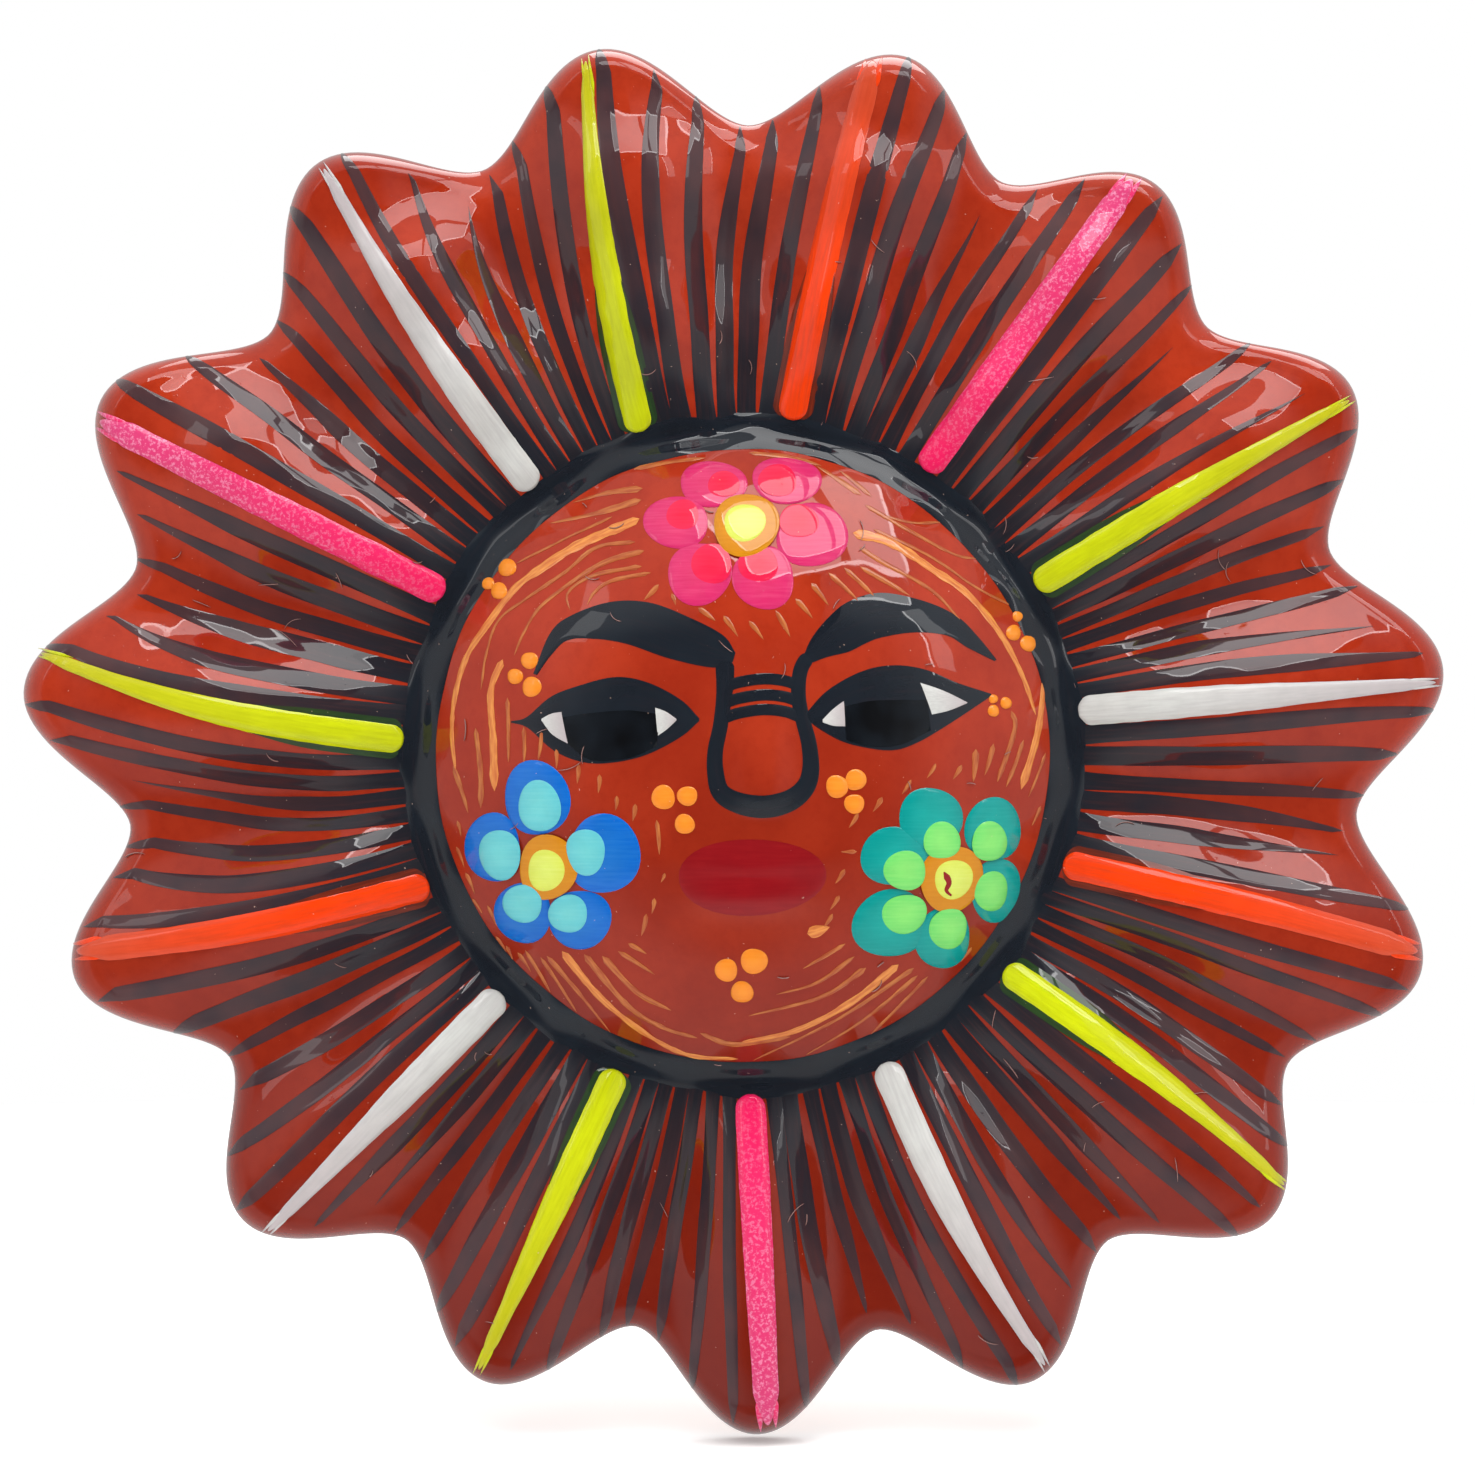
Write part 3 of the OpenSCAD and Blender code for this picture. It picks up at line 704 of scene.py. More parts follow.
def stroke_width(k, t):
    tip = BROAD_TIP_W if STROKE_COLOURS[k] in ("pink", "orange") else STROKE_TIP_W
    return mix(STROKE_W, tip, smooth((t - 0.25) / 0.75))


# Share of the space between two coloured strokes that is black, from the ring out to the rolled rim
SHARE_AT = [0, 0.04, 0.1, 0.2, 0.35, 0.5, 0.7, 0.85, 1.0, 1.4, 2]
SHARE = [1.25, 0.98, 0.84, 0.76, 0.7, 0.64, 0.52, 0.42, 0.31, 0.2, 0.1]
# How far out a stripe may end: 1 is the foot of the rolled rim, 2 its outer edge
STRIPE_ENDS = (0.97, 1.2, 1.5, 1.7, 1.85, 1.9)
STRIPE_POINTS = 60
GAP_IN, GAP_OUT = -0.12, 0.34    # bare clay beside a coloured stroke, by the ring and further out
# The most by which a stripe is moved, bowed and turned, in shares of its pitch, and its share of its width
SHIFT, BEND, SWAY, WIDTHS = 0.09, 0.12, 0.2, (0.82, 1.14)


def build_stripes():
    """The black stripes between the coloured strokes, each with its own shift, bend, width and end."""
    rng = random.Random(15)
    sheets = Sheets()
    for k in range(RAYS):
        after = (k + 1) % RAYS
        count = STRIPES[k]
        for j in range(count):
            end = rng.choice(STRIPE_ENDS)
            u = 1 - (1 - np.linspace(0, 1, STRIPE_POINTS)) ** 1.25
            u = u * end - 0.012
            t = np.minimum(u, 1)
            guess = mix(SEAM_R, 50, t)
            low = stroke_angle(k, guess)
            high = stroke_angle(after, guess) + (360 if after == 0 else 0)
            gap = np.degrees(mix(GAP_IN, GAP_OUT, smooth(t / 0.7)) / guess)
            low = low + np.degrees(stroke_width(k, t) / 2 / guess) + gap
            high = high - np.degrees(stroke_width(after, t) / 2 / guess) - gap
            pitch = (high - low) / count
            shift = rng.uniform(-SHIFT, SHIFT)
            bend = rng.uniform(-BEND, BEND) * np.sin(np.pi * t) + rng.uniform(-SWAY, SWAY) * t ** 2
            bend = bend + 0.05 * hand_waves(t * 4, 0 * t + k + j / 9, 1, 5.2)
            if j in (0, count - 1):
                bend = bend * 0.4
            angle = low + (j + 0.5 + shift * (1 - t) + bend) * pitch
            body_r = rim_radius(angle) - ROLL_W
            over = np.clip(u - 1, 0, 1)
            r = mix(SEAM_R, body_r, t) + ROLL_W * np.sin(over * np.pi / 2)
            tip = np.clip((end - 0.02 - u) / 0.5, 0, 1)
            wide = rng.uniform(*WIDTHS) * (1 + 0.06 * hand_waves(t * 5, 0 * t + k * 3 + j, 1, 7.4))
            share = np.interp(u, SHARE_AT, SHARE)
            share = share * mix(1, wide, np.clip((u - 0.05) * 4, 0, 1))
            width = np.radians(pitch) * r * share * tip ** 0.8 + 0.02
            spot = np.radians(angle)
            line = np.stack([r * np.cos(spot), r * np.sin(spot)], axis=1)
            ribbon(sheets, line, width, THIN + 0.004 * (j % 3), seed=k + j / 10, flat=6)
    sheets.build("black_stripes", "black_slip", [STRIPE_BLACK])


# ---- Coloured strokes ----

STROKE_POINTS = 90
BLUNT, TAPER = 1.0, 2.6    # lengths of a stroke's rounded start and pointed end
SPLIT_AT = 0.9    # share of the way along at which the brush tip splits
SPLITS = ((-0.3, 0.7), (0.32, 0.4))    # place across the tip, and how far past the end
BLEED_W, BLEED_POINTS = 0.75, 62


def build_strokes(colour):
    """The raised strokes of one colour: a blunt start by the ring, and a split brush tip at the rim."""
    sheets, bleed = Sheets(), Sheets()
    for k in range(RAYS):
        if STROKE_COLOURS[k] != colour:
            continue
        start, end = stroke_ends(k)
        length = np.linalg.norm(end - start)
        way = (end - start) / length
        side = np.array([-way[1], way[0]])
        t = (1 - np.cos(np.linspace(0, 1, STROKE_POINTS) * np.pi)) / 2
        bow = BOW[k] * np.sin(np.pi * t)
        line = start + (end - start) * t[:, None] + side * bow[:, None]
        blunt = np.sqrt(np.clip(1 - (1 - np.clip(t * length / BLUNT, 0, 1)) ** 2, 0, 1))
        tip = np.clip((1 - t) * length / TAPER, 0, 1) ** 0.6
        ragged = 1 + 0.05 * hand_waves(t * length, 0 * t + k, 1.3, 2.2)
        width = stroke_width(k, t) * blunt * tip * ragged + 0.03
        ribbon(sheets, line, width, STROKE_T, seed=k, flat=5)
        for share, more in SPLITS:
            u = np.linspace(SPLIT_AT, 1, 14)
            split = (u - SPLIT_AT) / (1 - SPLIT_AT)
            spread = side * share * stroke_width(k, 1)
            hairs = start + way * (length * u + more * split)[:, None] + spread
            thin = 0.35 * stroke_width(k, 1) * smooth(3 * split) * (1 - split ** 2) + 0.02
            ribbon(sheets, hairs, thin, 0.1, seed=k + share, flat=3)
        if colour in HALOS:
            fade = 1 - smooth((t - 0.2) / 0.55)
            spread = (stroke_width(k, t) + BLEED_W) * blunt * fade + 0.05
            ribbon(bleed, line[:BLEED_POINTS], spread[:BLEED_POINTS], 0.02, seed=k, flat=6, ground=0.045)
    slot = colour + "_paint"
    if colour in HALOS:
        bleed.build(colour + "_bleed", slot, [HALOS[colour]])
    sheets.build(colour + "_brush_strokes", slot, [STROKE_PAINTS[colour]], [colour + "_strokes"])


# ---- Flowers and dots: centre x and y, width and height; for the dots, centre and radius ----

PINK_PETALS = [
    (-2.2, 20.7, 5.2, 3.6), (-5, 17.7, 4.9, 4.1), (-3.2, 13.7, 4.8, 4.8), (3.4, 21, 5.2, 3.8),
    (5.3, 16.7, 5.5, 4.9), (1.6, 13.4, 4.7, 4.8),
]
PINK_DABS = [
    (-1.4, 20.6, 2.5, 2), (2.7, 20.9, 3, 2.5), (-4.5, 18.2, 2.5, 2.3), (4.3, 17.7, 3, 2.6),
    (-2.3, 14.4, 3.1, 3), (1.2, 14.4, 3, 2.8),
]
BLUE_PETALS = [
    (-15.5, -3.2, 5.1, 5.6), (-19, -7, 4.3, 5.4), (-10.4, -7.4, 5.6, 5.9), (-16.7, -12, 4.4, 4.8),
    (-12.3, -12.4, 4.8, 4.6),
]
CYAN_DABS = [
    (-15.2, -3.8, 3.3, 3.8), (-18.3, -7.5, 3.2, 3.9), (-11.7, -7.2, 3, 3.4), (-16.6, -11.2, 3, 3),
    (-13.1, -11.9, 3, 2.9),
]
TEAL_PETALS = [
    (14.2, -4.8, 4.8, 4.9), (19.1, -5.6, 4.4, 4.9), (11.5, -7.6, 5.2, 4.5), (19.4, -10.3, 4, 4.9),
    (11.2, -12.7, 5.9, 5.1), (15.3, -13.9, 4.4, 4.7),
]
GREEN_DABS = [
    (15, -6.4, 2.8, 2.9), (18.7, -6.5, 2.7, 3.1), (12.2, -8.6, 3.2, 3), (18.9, -10.3, 2.7, 3),
    (12.2, -11.9, 3.4, 3), (15.6, -13.1, 3, 3.1),
]
FLOWER_EYES = [(0.3, 17.4, 4.9, 4.9), (-14.6, -8.4, 4.5, 4.9), (15.8, -9.3, 4.8, 5.1)]
FLOWER_CORES = [(0.2, 17.5, 3.1, 2.9), (-14.7, -8.6, 2.8, 3.1), (15.9, -9.3, 2.9, 3)]
DOTS = [
    (-18, 14.4, 0.7), (-19.5, 13.2, 0.5), (-18.6, 12.6, 0.65), (-16.1, 7.2, 0.65), (-17.2, 6, 0.6),
    (-15.9, 5.2, 0.75), (-5.9, -3.1, 0.9), (-4.1, -3, 0.75), (-4.3, -5.1, 0.75), (7.1, -2.3, 0.85),
    (8.5, -1.8, 0.8), (8.4, -3.6, 0.75), (21.2, 10.7, 0.45), (20.8, 9.4, 0.6), (22, 8.6, 0.65),
    (19.1, 4.3, 0.35), (20.1, 4, 0.45), (19.1, 3.4, 0.45), (-1.2, -16.2, 0.87), (0.9, -15.5, 1),
    (0, -17.9, 0.85),
]
ROUND_DABS = [(x, y, 2 * radius, 2 * radius) for x, y, radius in DOTS]
FLAT, ROUND = 4, 2.2    # how flat-topped a dab is
# Piece, node it replaces, dabs, thickness, what lies under them, shape, slot and colours
DAB_LAYERS = [
    ("pink_flower_petals", "pink_petals", PINK_PETALS, 0.14, 0, FLAT, "petal_pink",
     ((206, 48, 98), (200, 40, 98), (218, 84, 126), 0.4)),
    ("pink_flower_dabs", "pink_dabs", PINK_DABS, 0.04, 0.13, FLAT, "dab_pink",
     ((226, 24, 62), (220, 34, 74), (234, 60, 92), 0.3)),
    ("blue_flower_petals", "blue_petals", BLUE_PETALS, 0.2, 0, FLAT, "petal_blue",
     ((24, 104, 186), (12, 96, 190), (54, 128, 196), 0.3)),
    ("blue_flower_dabs", "cyan_dabs", CYAN_DABS, 0.14, 0.19, FLAT, "dab_cyan",
     ((106, 196, 198), (92, 184, 194), (134, 208, 206), 0.3)),
    ("teal_flower_petals", "teal_petals", TEAL_PETALS, 0.2, 0, FLAT, "petal_teal",
     ((12, 154, 146), (8, 138, 134), (44, 166, 156), 0.3)),
    ("teal_flower_dabs", "green_dabs", GREEN_DABS, 0.14, 0.19, FLAT, "dab_green",
     ((128, 216, 108), (104, 204, 102), (160, 226, 124), 0.3)),
    ("flower_eyes_paint", "flower_eyes", FLOWER_EYES, 0.12, 0.15, FLAT, "ochre_paint",
     ((206, 134, 22), (196, 124, 22), (216, 154, 40), 0.3)),
    ("flower_cores_paint", "flower_cores", FLOWER_CORES, 0.08, 0.26, FLAT, "core_yellow",
     ((208, 222, 100), (204, 212, 80), (222, 228, 130), 0.4)),
    ("orange_dot_groups", "orange_dots", ROUND_DABS, 0.22, 0, ROUND, "dot_orange",
     ((234, 138, 40), (228, 128, 36), (238, 158, 70), 0.3)),
]


def build_flowers():
    for name, node, dabs, thick, ground, dome, slot, colours in DAB_LAYERS:
        sheets = Sheets()
        for i, (x, y, wide, high) in enumerate(dabs):
            blob(sheets, (x, y), (wide, high), thick, seed=i * 1.7 + x, dome=dome, ground=ground)
        sheets.build(name, slot, [enamel(slot, *colours)], [node])


# ---- Drawn face ----

# Eyes and brows, as pairs of matching curves from left to right
EYES_AND_BROWS = [
    ([(-17.5, 2.6), (-16.3, 2.9), (-14.5, 4.4), (-12.5, 5.2), (-9.6, 5.9), (-7.1, 5.5), (-4.6, 4.2),
      (-3.2, 2.8)],
     [(-17.5, 2.5), (-16.2, 2.1), (-14.2, 0.4), (-11.9, -0.5), (-9.6, -0.5), (-7.1, 0.1), (-4.6, 1.4),
      (-3.2, 2.6)]),
    ([(4.7, 3.1), (6.4, 4.9), (8.9, 6.3), (11.3, 6.8), (13.8, 6.5), (16.3, 5.5), (18.9, 4.7)],
     [(4.7, 2.8), (6.1, 1.8), (8, 0.9), (11, 0.4), (13, 0.9), (15.5, 2.3), (18.9, 4.5)]),
    ([(-15.8, 6.2), (-14.5, 9.3), (-12.9, 10.6), (-9.9, 11.6), (-6.9, 11.5), (-3.8, 10.3), (-1.4, 9),
      (-0.5, 7.7)],
     [(-15.5, 6.1), (-14.5, 7.5), (-13.2, 8.7), (-11.2, 8.8), (-8.7, 8.4), (-5.5, 7.3), (-2.2, 6.6),
      (-0.7, 7)]),
    ([(4.6, 7.5), (5.2, 8.8), (6.4, 10.3), (8, 11.6), (10.5, 12.3), (13.8, 11.7), (16.3, 10.6), (17.9, 9.1),
      (19.4, 7.3)],
     [(4.8, 6.8), (6.4, 7.4), (8, 7.8), (9.2, 8.4), (10.5, 8.9), (13, 9.3), (15.5, 9.1), (17.1, 8.2),
      (19.2, 7.2)]),
]
NOSE_LINE = [
    (-1.3, 7.4), (-1.3, 5.1), (-1.6, 2.4), (-2, 0.4), (-2, -1.2), (-1.6, -2.7), (-0.3, -3.5),
    (1.6, -3.8), (3.4, -3.4), (4.6, -2.5), (5.1, -1.2), (5, 0.8), (4.4, 3.2), (4.2, 4.8), (4.4, 6.5),
    (5.2, 7.8),
]
BRIDGE_LINES = [5.6, 4.4, 3.3]
# Whites of the eyes, and pupils below the lids, as pairs of matching curves
EYE_WHITES = [
    ([(-15.1, 2.8), (-14.4, 3.15), (-13.6, 3.3)], [(-15.1, 2.6), (-14.3, 1.6), (-13.1, 0.9)]),
    ([(-6.5, 3.6), (-5.7, 3.3), (-4.9, 2.75)], [(-6.3, 1.5), (-5.6, 2), (-4.9, 2.65)]),
    ([(6, 2.7), (6.8, 3.5), (7.6, 4.1)], [(6, 2.5), (6.8, 2.25), (7.7, 2.2)]),
    ([(13.4, 5.5), (15.2, 4.9), (17, 4.05)], [(14.3, 3.1), (15.6, 3.4), (17, 3.95)]),
]
PUPILS = [
    ([(-13.5, 2.9), (-11.5, 3.2), (-8.5, 3.4), (-6.1, 3.1)],
     [(-13.1, 0.9), (-11.4, -0.3), (-8.6, -0.2), (-6.4, 0.7)]),
    ([(7.6, 3.7), (9.5, 4.1), (11.8, 4.2), (13.9, 4.2)],
     [(7.8, 1.2), (9.5, 0.7), (11.8, 0.8), (14.2, 1.9)]),
]
LIPS_AT = (0.7, -9.1)
LIPS_SIZE = (11, 5.8)
CORE_FLAW = [(15.1, -8.7), (15.5, -9.5), (15.3, -10.1), (15.7, -10.5)]
EYE_POINTS, BROW_POINTS, NOSE_POINTS, BRIDGE_POINTS, FLAW_POINTS = 48, 56, 110, 30, 16
PUPIL_POINTS, WHITE_POINTS = 24, 14


def build_face_paint():
    black = Sheets()
    for i, (upper, lower) in enumerate(EYES_AND_BROWS):
        band(black, upper, lower, EYE_POINTS if i < 2 else BROW_POINTS, THIN, seed=i + 1)
    t = np.linspace(0, 1, NOSE_POINTS)
    width = 1.1 + 0.6 * np.exp(-((t - 0.5) / 0.16) ** 2) + 0.3 * np.exp(-((t - 0.02) / 0.08) ** 2)
    ends = np.minimum(1, np.minimum(t, 1 - t) * 40 + 0.1)
    ribbon(black, through(NOSE_LINE, NOSE_POINTS), width * ends, THIN + 0.008, seed=5)
    for i, y in enumerate(BRIDGE_LINES):
        arch = [(-1.4, y - 0.5), (-0.2, y - 0.1), (1.6, y + 0.15), (3.2, y), (4.3, y - 0.4)]
        width = np.full(BRIDGE_POINTS, 0.85)
        ribbon(black, through(arch, BRIDGE_POINTS), width, THIN + 0.004, seed=6 + i)
    black.build("face_lines", "black_slip", [LINE_BLACK])
    pupils, whites, lips, flaw = Sheets(), Sheets(), Sheets(), Sheets()
    for i, (upper, lower) in enumerate(PUPILS):
        band(pupils, upper, lower, PUPIL_POINTS, THIN, seed=i, ground=THIN)
    pupils.build("pupils", "black_slip", [PUPIL_BLACK])
    for i, (upper, lower) in enumerate(EYE_WHITES):
        band(whites, upper, lower, WHITE_POINTS, 0.05, seed=i, ground=THIN)
    whites.build("eye_whites", "white_paint", [STROKE_PAINTS["white"]])
    blob(lips, LIPS_AT, LIPS_SIZE, 0.05, seed=0.4, dome=6, wobble=0.03)
    crimson = enamel("lip_crimson", (138, 16, 24), (132, 18, 24), (154, 32, 32), 0.3)
    lips.build("painted_lips", "painted_clay", [crimson])
    width = np.interp(np.linspace(0, 1, FLAW_POINTS), [0, 0.2, 0.6, 1], [0.1, 0.5, 0.35, 0.15])
    ribbon(flaw, through(CORE_FLAW, FLAW_POINTS), width, 0.03, ground=0.34)
    flaw.build("core_flaw", "painted_clay", [crimson])


# Gold brush hairs: points, width at the start, width at the end
BOLD_HAIRS = [
    ([(-7.8, 18), (-12.5, 16), (-15.1, 14.4), (-17.3, 12.8), (-19.4, 10.1), (-21.1, 7.5),
      (-22, 4.4), (-22.2, 1.6), (-21.9, -1.2)], 0.75, 0.25),
    ([(8.4, 16.9), (11.3, 16.2), (14.6, 14.1), (17.1, 12.4), (19.6, 9.5), (21.4, 6.2), (22.5, 3.1)
     ], 0.75, 0.25),
    ([(21.7, 10.6), (22.8, 8.5), (23.2, 6.5), (22.9, 3.2), (22.4, 0.8), (21.3, -2.6)], 0.25, 0.6),
    ([(-18.2, 7.3), (-19.1, 4.9), (-18.9, 1.2), (-18.8, -2.7)], 0.5, 0.6),
    ([(-13.7, -14.9), (-10.8, -18.5), (-7.4, -21.3), (-4.1, -23), (-0.3, -23.3)], 0.55, 0.25),
    ([(11.9, -15.9), (8.3, -18.8), (4.1, -21), (-0.2, -22)], 0.6, 0.3),
    ([(4.9, -13.4), (5.7, -13.2), (6.6, -12.9)], 0.95, 0.6),
]
FINE_HAIRS = [
    ([(-7.6, 20.4), (-10.3, 20.1), (-13, 19.4)], 0.5, 0.1),
    ([(-7.7, 19.5), (-11.1, 18.5), (-14.7, 17.8)], 0.6, 0.15),
    ([(-9.9, 18.2), (-13.8, 16.4), (-17.3, 14.7)], 0.2, 0.15),
    ([(-8.1, 16.2), (-11.1, 15.8), (-13.5, 13.9), (-16.5, 11.9), (-18.6, 10.3), (-19.5, 7.8), (-19.9, 5)
     ], 0.3, 0.15),
    ([(-7.4, 15.5), (-10.3, 14.7), (-13, 13.1), (-15.4, 11.2), (-16.6, 9.3), (-17.3, 7.6)], 0.45, 0.15),
    ([(-7.6, 14.3), (-11.1, 13.7), (-12.9, 12.7), (-13.3, 11.9), (-13, 11)], 0.35, 0.15),
    ([(-6.9, 13.8), (-9.9, 13.2), (-11.2, 12.3), (-11.7, 11.4)], 0.35, 0.2),
    ([(-20.3, 2.1), (-19.9, -1.2), (-19.9, -4)], 0.35, 0.5),
    ([(10.7, 18.3), (13.1, 17.8), (15.3, 17.9)], 0.2, 0.2),
    ([(9.4, 19.1), (12.7, 17.2), (16.2, 15.4), (18, 15.1)], 0.3, 0.15),
    ([(10, 17.2), (14.3, 15.2), (17.8, 12.9), (20.9, 11.4)], 0.25, 0.15),
    ([(8.9, 15.8), (10.4, 14.8), (14.3, 12.6), (16.6, 10.3)], 0.35, 0.15),
    ([(20.5, 3.4), (20.8, 2), (19.4, -2)], 0.4, 0.4),
    ([(-12, -15.1), (-8.7, -19.1), (-6, -20.8), (-3.4, -21.6)], 0.5, 0.25),
    ([(-10.6, -15.2), (-8, -18), (-5.4, -19.4)], 0.5, 0.3),
    ([(-14.9, -15.3), (-12.6, -18), (-10.1, -21.3)], 0.4, 0.1),
    ([(-3.2, -21.2), (-0.6, -22.1), (3.7, -21.5)], 0.35, 0.35),
    ([(8.5, -15.2), (5.7, -17.2), (2.6, -18.1)], 0.4, 0.1),
    ([(9.4, -16.1), (6.1, -18.3), (0.5, -19.8)], 0.45, 0.1),
    ([(13.1, -16.2), (7.5, -20), (0.9, -23.4)], 0.35, 0.1),
    ([(13.4, -16.8), (9.2, -20.3), (4.9, -23)], 0.3, 0.1),
    ([(-8.3, 22), (-5.5, 22.5), (-2.8, 22.8)], 0.35, 0.25),
    ([(0.5, 23.2), (3.5, 22.9), (6.1, 22.2)], 0.35, 0.25),
]
# Short straight dashes: start x and y, end x and y, width
DASHES = [
    (-17.8, 4.4, -17.7, -0.5, 0.35), (-16.5, 2.2, -16.5, -0.7, 0.35), (-15.1, 2, -15.4, -0.4, 0.35),
    (-14, 0.5, -14, -1, 0.35), (-22.1, -0.8, -20.9, -4.4, 0.4), (-21.8, -5, -21.5, -6.2, 0.3),
    (-21.9, -7, -21.3, -8.6, 0.3), (-21.2, -9, -20.5, -10.6, 0.3), (-20.7, -11, -19.9, -12.2, 0.3),
    (-19.5, -11.5, -18.8, -13.1, 0.3), (-18.9, -13.9, -18.1, -15.1, 0.3), (-12.3, -0.6, -12.4, -2.1, 0.4),
    (-10.7, -1.4, -10.8, -2.8, 0.4), (-9.4, -3, -9.5, -4.1, 0.4), (-8, -3.6, -8.2, -4.9, 0.4),
    (-6.4, -4.8, -6.2, -7.4, 0.4), (-5.8, -8.8, -6.1, -9.5, 0.35), (-6.6, -10.7, -6.8, -11.9, 0.4),
    (-7.2, -11.9, -7.6, -13.6, 0.4), (-6.3, 12.9, -7.4, 11.7, 0.4), (-5.3, 12.2, -5, 11.3, 0.4),
    (-3.3, 11.1, -2, 10.1, 0.4), (-1.4, 10.5, -0.3, 8.9, 0.4), (0.5, 10.1, 1.6, 8.7, 0.4),
    (2.5, 10.9, 3.6, 8.9, 0.4), (4, 11.8, 5.3, 10.3, 0.4), (5.2, 13, 6.5, 11.3, 0.4),
    (6.5, 13.8, 8.8, 11.6, 0.4), (7.7, 14.2, 10, 12, 0.4), (8.9, 14.3, 12.7, 12.1, 0.4),
    (17.7, 0.5, 17.5, -2, 0.5), (19.1, 0.9, 18.4, -1.5, 0.5), (21.5, 1.2, 20.1, -2.4, 0.4),
    (23.3, 0.2, 21.9, -3.2, 0.25), (22.9, -3.9, 22.2, -5.4, 0.35), (-9.4, -14.8, -6.6, -16.6, 0.35),
    (-8.6, -14.2, -7.2, -15, 0.4), (-15.4, -15.4, -12.7, -19.7, 0.3), (-16.6, -14.9, -14.7, -18.2, 0.3),
    (-17.2, -15.1, -16.2, -16.6, 0.3), (-18.1, -14.6, -17.6, -15.8, 0.3), (7.8, -14.2, 4.6, -16.1, 0.35),
    (14.2, -16.9, 9.8, -21.5, 0.25), (17.6, -14.7, 16.8, -15.8, 0.25), (9.1, 19.9, 5.7, 22.2, 0.4),
    (9.9, 19.8, 7.4, 21.9, 0.3), (14.6, -0.6, 13.9, -1.7, 0.4), (16.6, -0.7, 15.9, -1.8, 0.4),
    (12.7, -1.8, 12, -2.9, 0.4), (10.5, -3.1, 9.8, -4.2, 0.4), (8.7, -4.3, 8, -5.4, 0.4),
    (8.6, -7.2, 7.4, -7.2, 0.35), (7.7, -8.5, 7, -9.6, 0.4), (7.3, -10.5, 6.6, -11.6, 0.4),
    (6.8, -11.9, 6.1, -13, 0.4),
]

HAIR_T = 0.035


def hair(sheets, points, start_width, end_width, seed):
    """One ragged brush hair, rounded at its start and pointed at its end."""
    length = np.sum(np.linalg.norm(np.diff(np.array(points, float), axis=0), axis=1))
    count = max(8, int(length / 0.4))
    t = np.linspace(0, 1, count)
    ends = np.minimum(1, np.minimum(t * length / 0.3, (1 - t) * length / 0.9)) ** 0.6
    ragged = 1 + 0.35 * hand_waves(t * length, 0 * t + seed, 0.8, 6.6)
    width = mix(start_width, end_width, t) * ends * ragged + 0.02
    ribbon(sheets, through(points, count), width, HAIR_T, seed=seed, flat=3)


def build_hairs():
    bold, fine = Sheets(), Sheets()
    for i, (points, start, end) in enumerate(BOLD_HAIRS):
        hair(bold, points, start, end, i)
    for i, (points, start, end) in enumerate(FINE_HAIRS):
        hair(fine, points, start, end, i + 20)
    for i, (x, y, to_x, to_y, width) in enumerate(DASHES):
        middle = ((x + to_x) / 2 + 0.05, (y + to_y) / 2)
        hair(fine, [(x, y), middle, (to_x, to_y)], width, width * 0.6, i + 60)
    bold.build("gold_hairs_bold", "dot_orange", [GOLD])
    fine.build("gold_hairs_fine", "dot_orange", [FINE_GOLD])


LINT_COUNT, LINT_POINTS, LINT_W, LINT_T = 80, 14, 0.045, 0.03
LACQUER_T = 0.1


def build_lint():
    """Short fibres of dust caught in the lacquer."""
    rng = random.Random(7)
    sheets = Sheets()
    t = np.linspace(0, 1, LINT_POINTS)
    width = LINT_W * np.minimum(1, 6 * np.minimum(t, 1 - t)) + 0.01
    for i in range(LINT_COUNT):
        a, r = rng.uniform(0, 2 * np.pi), 50 * rng.uniform(0.02, 0.93) ** 0.5
        turn, curl = rng.uniform(0, 2 * np.pi), rng.uniform(-1.5, 1.5)
        way = turn + curl * t
        step = rng.uniform(0.6, 2.2) / LINT_POINTS
        x, y = r * np.cos(a) + np.cumsum(np.cos(way)) * step, r * np.sin(a) + np.cumsum(np.sin(way)) * step
        ribbon(sheets, np.stack([x, y], axis=1), width, LINT_T, seed=i, flat=2, ground=LACQUER_T)
    lint = enamel("lint", (160, 124, 118), (140, 106, 102), (120, 84, 80), 0.5)
    sheets.build("lint_fibres", "white_paint", [lint])


# ---- Carried-over pieces, stage, lights and camera ----

def finish_cad_nodes():
    lug = bare_clay("lug_clay")
    slip = Shader("dry_slip", 0.8, specular=0.2)
    grain = slip.noise(0.6, detail=3)
    slip.bump(grain, 0.08)
    slip.colour(slip.layer(grain, (0.35, 0.7), (44, 40, 42), (78, 62, 56)))
    finishes = {"hanger_lug_left": lug, "hanger_lug_right": lug, "hanger_bail": WIRE,
                "luting_ring": slip.material}
    for name, material in finishes.items():
        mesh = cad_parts[name].data
        mesh.materials.clear()
        mesh.materials.append(material)


VIEW_DISTANCE, VIEW_WIDTH = 0.36, 0.1151    # metres; the width is that of the view at the rim's height
VIEW_CENTRE = (-0.00035, 0.00137)


def place_camera():
    data = bpy.data.cameras.new("camera")
    camera = bpy.data.objects.new("camera", data)
    camera.location = (VIEW_CENTRE[0], -VIEW_DISTANCE, VIEW_CENTRE[1])
    camera.rotation_euler = (np.pi / 2, 0, 0)
    data.lens = data.sensor_width * (VIEW_DISTANCE - RIM_H * MM) / VIEW_WIDTH
    data.clip_start = 0.01
    bpy.context.scene.collection.objects.link(camera)
    bpy.context.scene.camera = camera


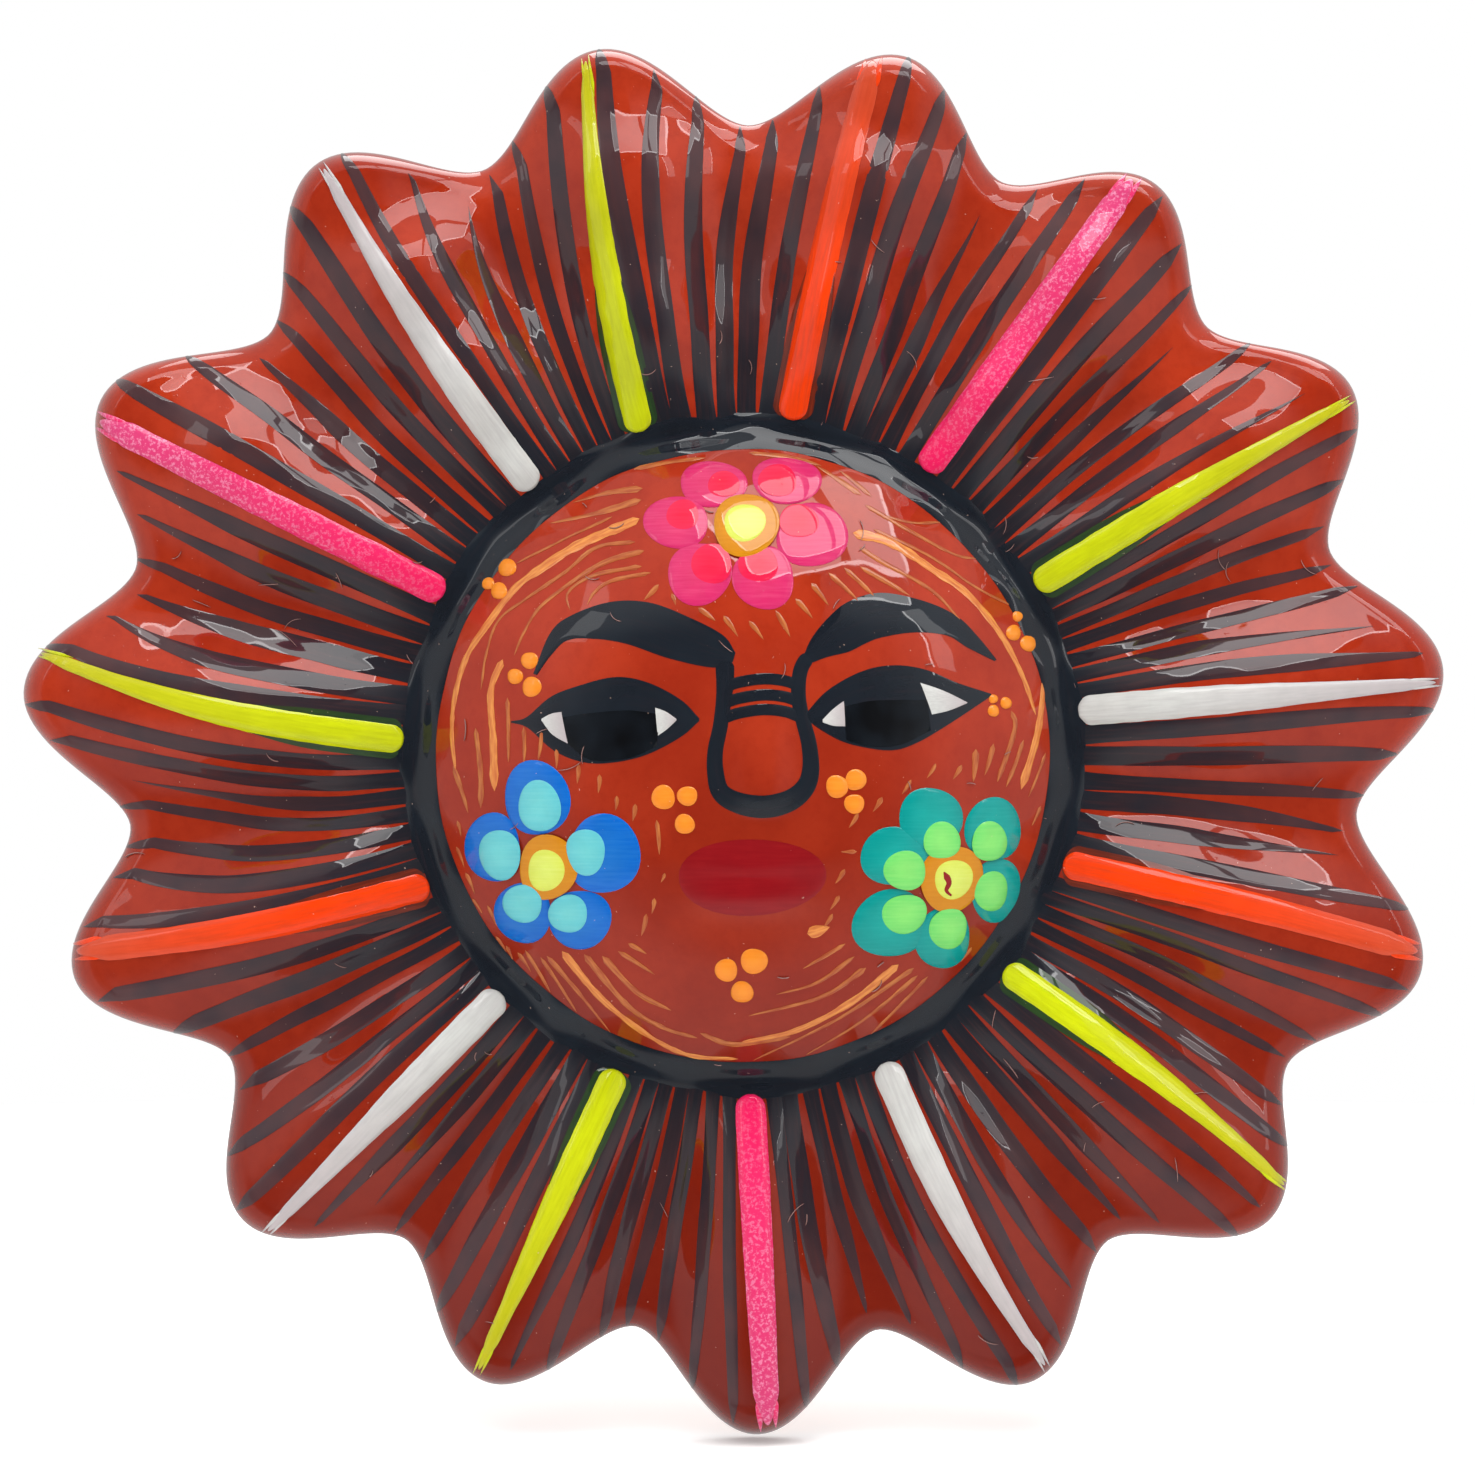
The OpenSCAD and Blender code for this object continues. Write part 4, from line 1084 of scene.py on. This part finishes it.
def panel(name, azimuth, elevation, distance, size, radiance, mirrored=True, shift=(0, 0)):
    """A soft rectangular light aimed at the plaque. Azimuth 0 is in front, positive to its right.
    shift moves it across and up in its own plane."""
    data = bpy.data.lights.new(name, "AREA")
    data.shape = "RECTANGLE"
    data.size, data.size_y = size
    data.energy = radiance * np.pi * size[0] * size[1]
    lamp = bpy.data.objects.new(name, data)
    lamp.visible_glossy = mirrored
    az, el = np.radians(azimuth), np.radians(elevation)
    at = Vector((np.sin(az) * np.cos(el), -np.cos(az) * np.cos(el), np.sin(el))) * distance
    facing = (-at).to_track_quat("-Z", "Y")
    lamp.location = at + facing @ Vector((*shift, 0))
    lamp.rotation_euler = facing.to_euler()
    bpy.context.scene.collection.objects.link(lamp)


WINDOW = (28, 66, 0.5)    # azimuth, elevation and distance of a tall window with two panes


def light_scene():
    panel("left_pane", *WINDOW, (0.22, 0.25), 3.4, shift=(-0.035, 0))
    panel("right_pane", *WINDOW, (0.13, 0.25), 3.4, shift=(0.165, 0))
    panel("window_left_edge", *WINDOW, (0.01, 0.25), 9, shift=(-0.15, 0))
    panel("window_right_edge", *WINDOW, (0.01, 0.25), 9, shift=(0.235, 0))
    panel("window_sill", *WINDOW, (0.38, 0.009), 9, shift=(0.045, -0.13))
    panel("right_door", 62, 30, 1.0, (0.12, 0.44), 1.6)
    panel("right_door_edge", 57, 30, 1.0, (0.012, 0.44), 8)
    panel("left_door", -54, 34, 1.0, (0.14, 0.4), 1.2)
    panel("left_fill", -62, 20, 1.3, (0.7, 1.0), 1.0, mirrored=False)
    panel("right_fill", 64, 22, 1.3, (0.7, 1.0), 1.0, mirrored=False)
    panel("front_fill", -8, 44, 1.5, (1.1, 1.0), 3.2, mirrored=False)
    panel("back_fill", 170, 50, 1.5, (1.0, 0.8), 2.5)
    bpy.context.scene.view_settings.view_transform = "Standard"


UPWARD_LIGHT = (0.15, 0.95, 0.04, 0.95)    # heights between which it rises, and its strengths there
MIRRORED_LIGHT = (-0.86, -0.42, 0.04, 0.55)    # depths between which it rises, and its strengths there


def build_world():
    """White to the camera. It lights the plaque from above, and is mirrored hazy but dark in front."""
    world = bpy.data.worlds.new("studio")
    bpy.context.scene.world = world
    world.use_nodes = True
    tree = world.node_tree
    room = tree.nodes["Background"]
    seen = tree.nodes.new("ShaderNodeBackground")
    room.inputs["Color"].default_value = seen.inputs["Color"].default_value = (1, 1, 1, 1)
    seen.inputs["Strength"].default_value = 1.0
    spot = tree.nodes.new("ShaderNodeTexCoord")
    split = tree.nodes.new("ShaderNodeSeparateXYZ")
    tree.links.new(spot.outputs["Generated"], split.inputs[0])
    ray = tree.nodes.new("ShaderNodeLightPath")
    strength = tree.nodes.new("ShaderNodeMix")
    tree.links.new(ray.outputs["Is Glossy Ray"], strength.inputs["Factor"])
    upward = map_range(tree, split.outputs["Z"], UPWARD_LIGHT, "SMOOTHSTEP")
    mirrored = map_range(tree, split.outputs["Y"], MIRRORED_LIGHT, "SMOOTHSTEP")
    tree.links.new(upward, strength.inputs["A"])
    tree.links.new(mirrored, strength.inputs["B"])
    tree.links.new(strength.outputs["Result"], room.inputs["Strength"])
    choose = tree.nodes.new("ShaderNodeMixShader")
    tree.links.new(ray.outputs["Is Camera Ray"], choose.inputs[0])
    tree.links.new(room.outputs[0], choose.inputs[1])
    tree.links.new(seen.outputs[0], choose.inputs[2])
    tree.links.new(choose.outputs[0], tree.nodes["World Output"].inputs[0])


def stage_sheet(name, corners, shader):
    """A flat one-sided sheet that dresses the stage."""
    mesh = bpy.data.meshes.new(name)
    mesh.from_pydata(corners, [], [tuple(range(len(corners)))])
    mesh.materials.append(shader.material)
    sheet = bpy.data.objects.new(name, mesh)
    bpy.context.scene.collection.objects.link(sheet)
    sheet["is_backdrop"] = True
    return sheet


def build_dark_card():
    """A dark card above the camera, seen only as a reflection in the lacquer."""
    shader = Shader("dark_card", 0.9)
    shader.colour(shader.blend(shader.noise(90, detail=2), (10, 10, 11), (16, 16, 18)))
    corners = [(0.04, -0.5, 0.24), (0.19, -0.47, 0.31), (0.23, -0.36, 0.5), (0.06, -0.37, 0.56),
               (-0.1, -0.42, 0.42)]
    card = stage_sheet("dark_card", corners, shader)
    card.visible_camera = card.visible_diffuse = card.visible_shadow = False


FLOOR_R, FLOOR_CORNERS, FLOOR_GAP = 0.34, 96, 0.0004


def build_floor():
    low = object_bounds()[0][2] - FLOOR_GAP
    shader = Shader("pale_floor", 0.9, specular=0.1)
    shader.colour(shader.blend(shader.noise(40, detail=2), (240, 240, 239), (250, 250, 249)))
    shader.bsdf.inputs["Emission Color"].default_value = (1, 1, 1, 1)
    shader.bsdf.inputs["Emission Strength"].default_value = 0.3
    turns = np.linspace(0, 2 * np.pi, FLOOR_CORNERS, endpoint=False)
    corners = [(FLOOR_R * np.cos(t), FLOOR_R * np.sin(t), low) for t in turns]
    floor = stage_sheet("floor", corners, shader)
    floor.visible_glossy = False


place_camera()
light_scene()
build_world()
build_rays()
build_face()
build_ring()
build_stripes()
for paint_colour in ("white", "yellow", "pink", "orange"):
    build_strokes(paint_colour)
build_flowers()
build_face_paint()
build_hairs()
build_lint()
finish_cad_nodes()
build_dark_card()
build_floor()
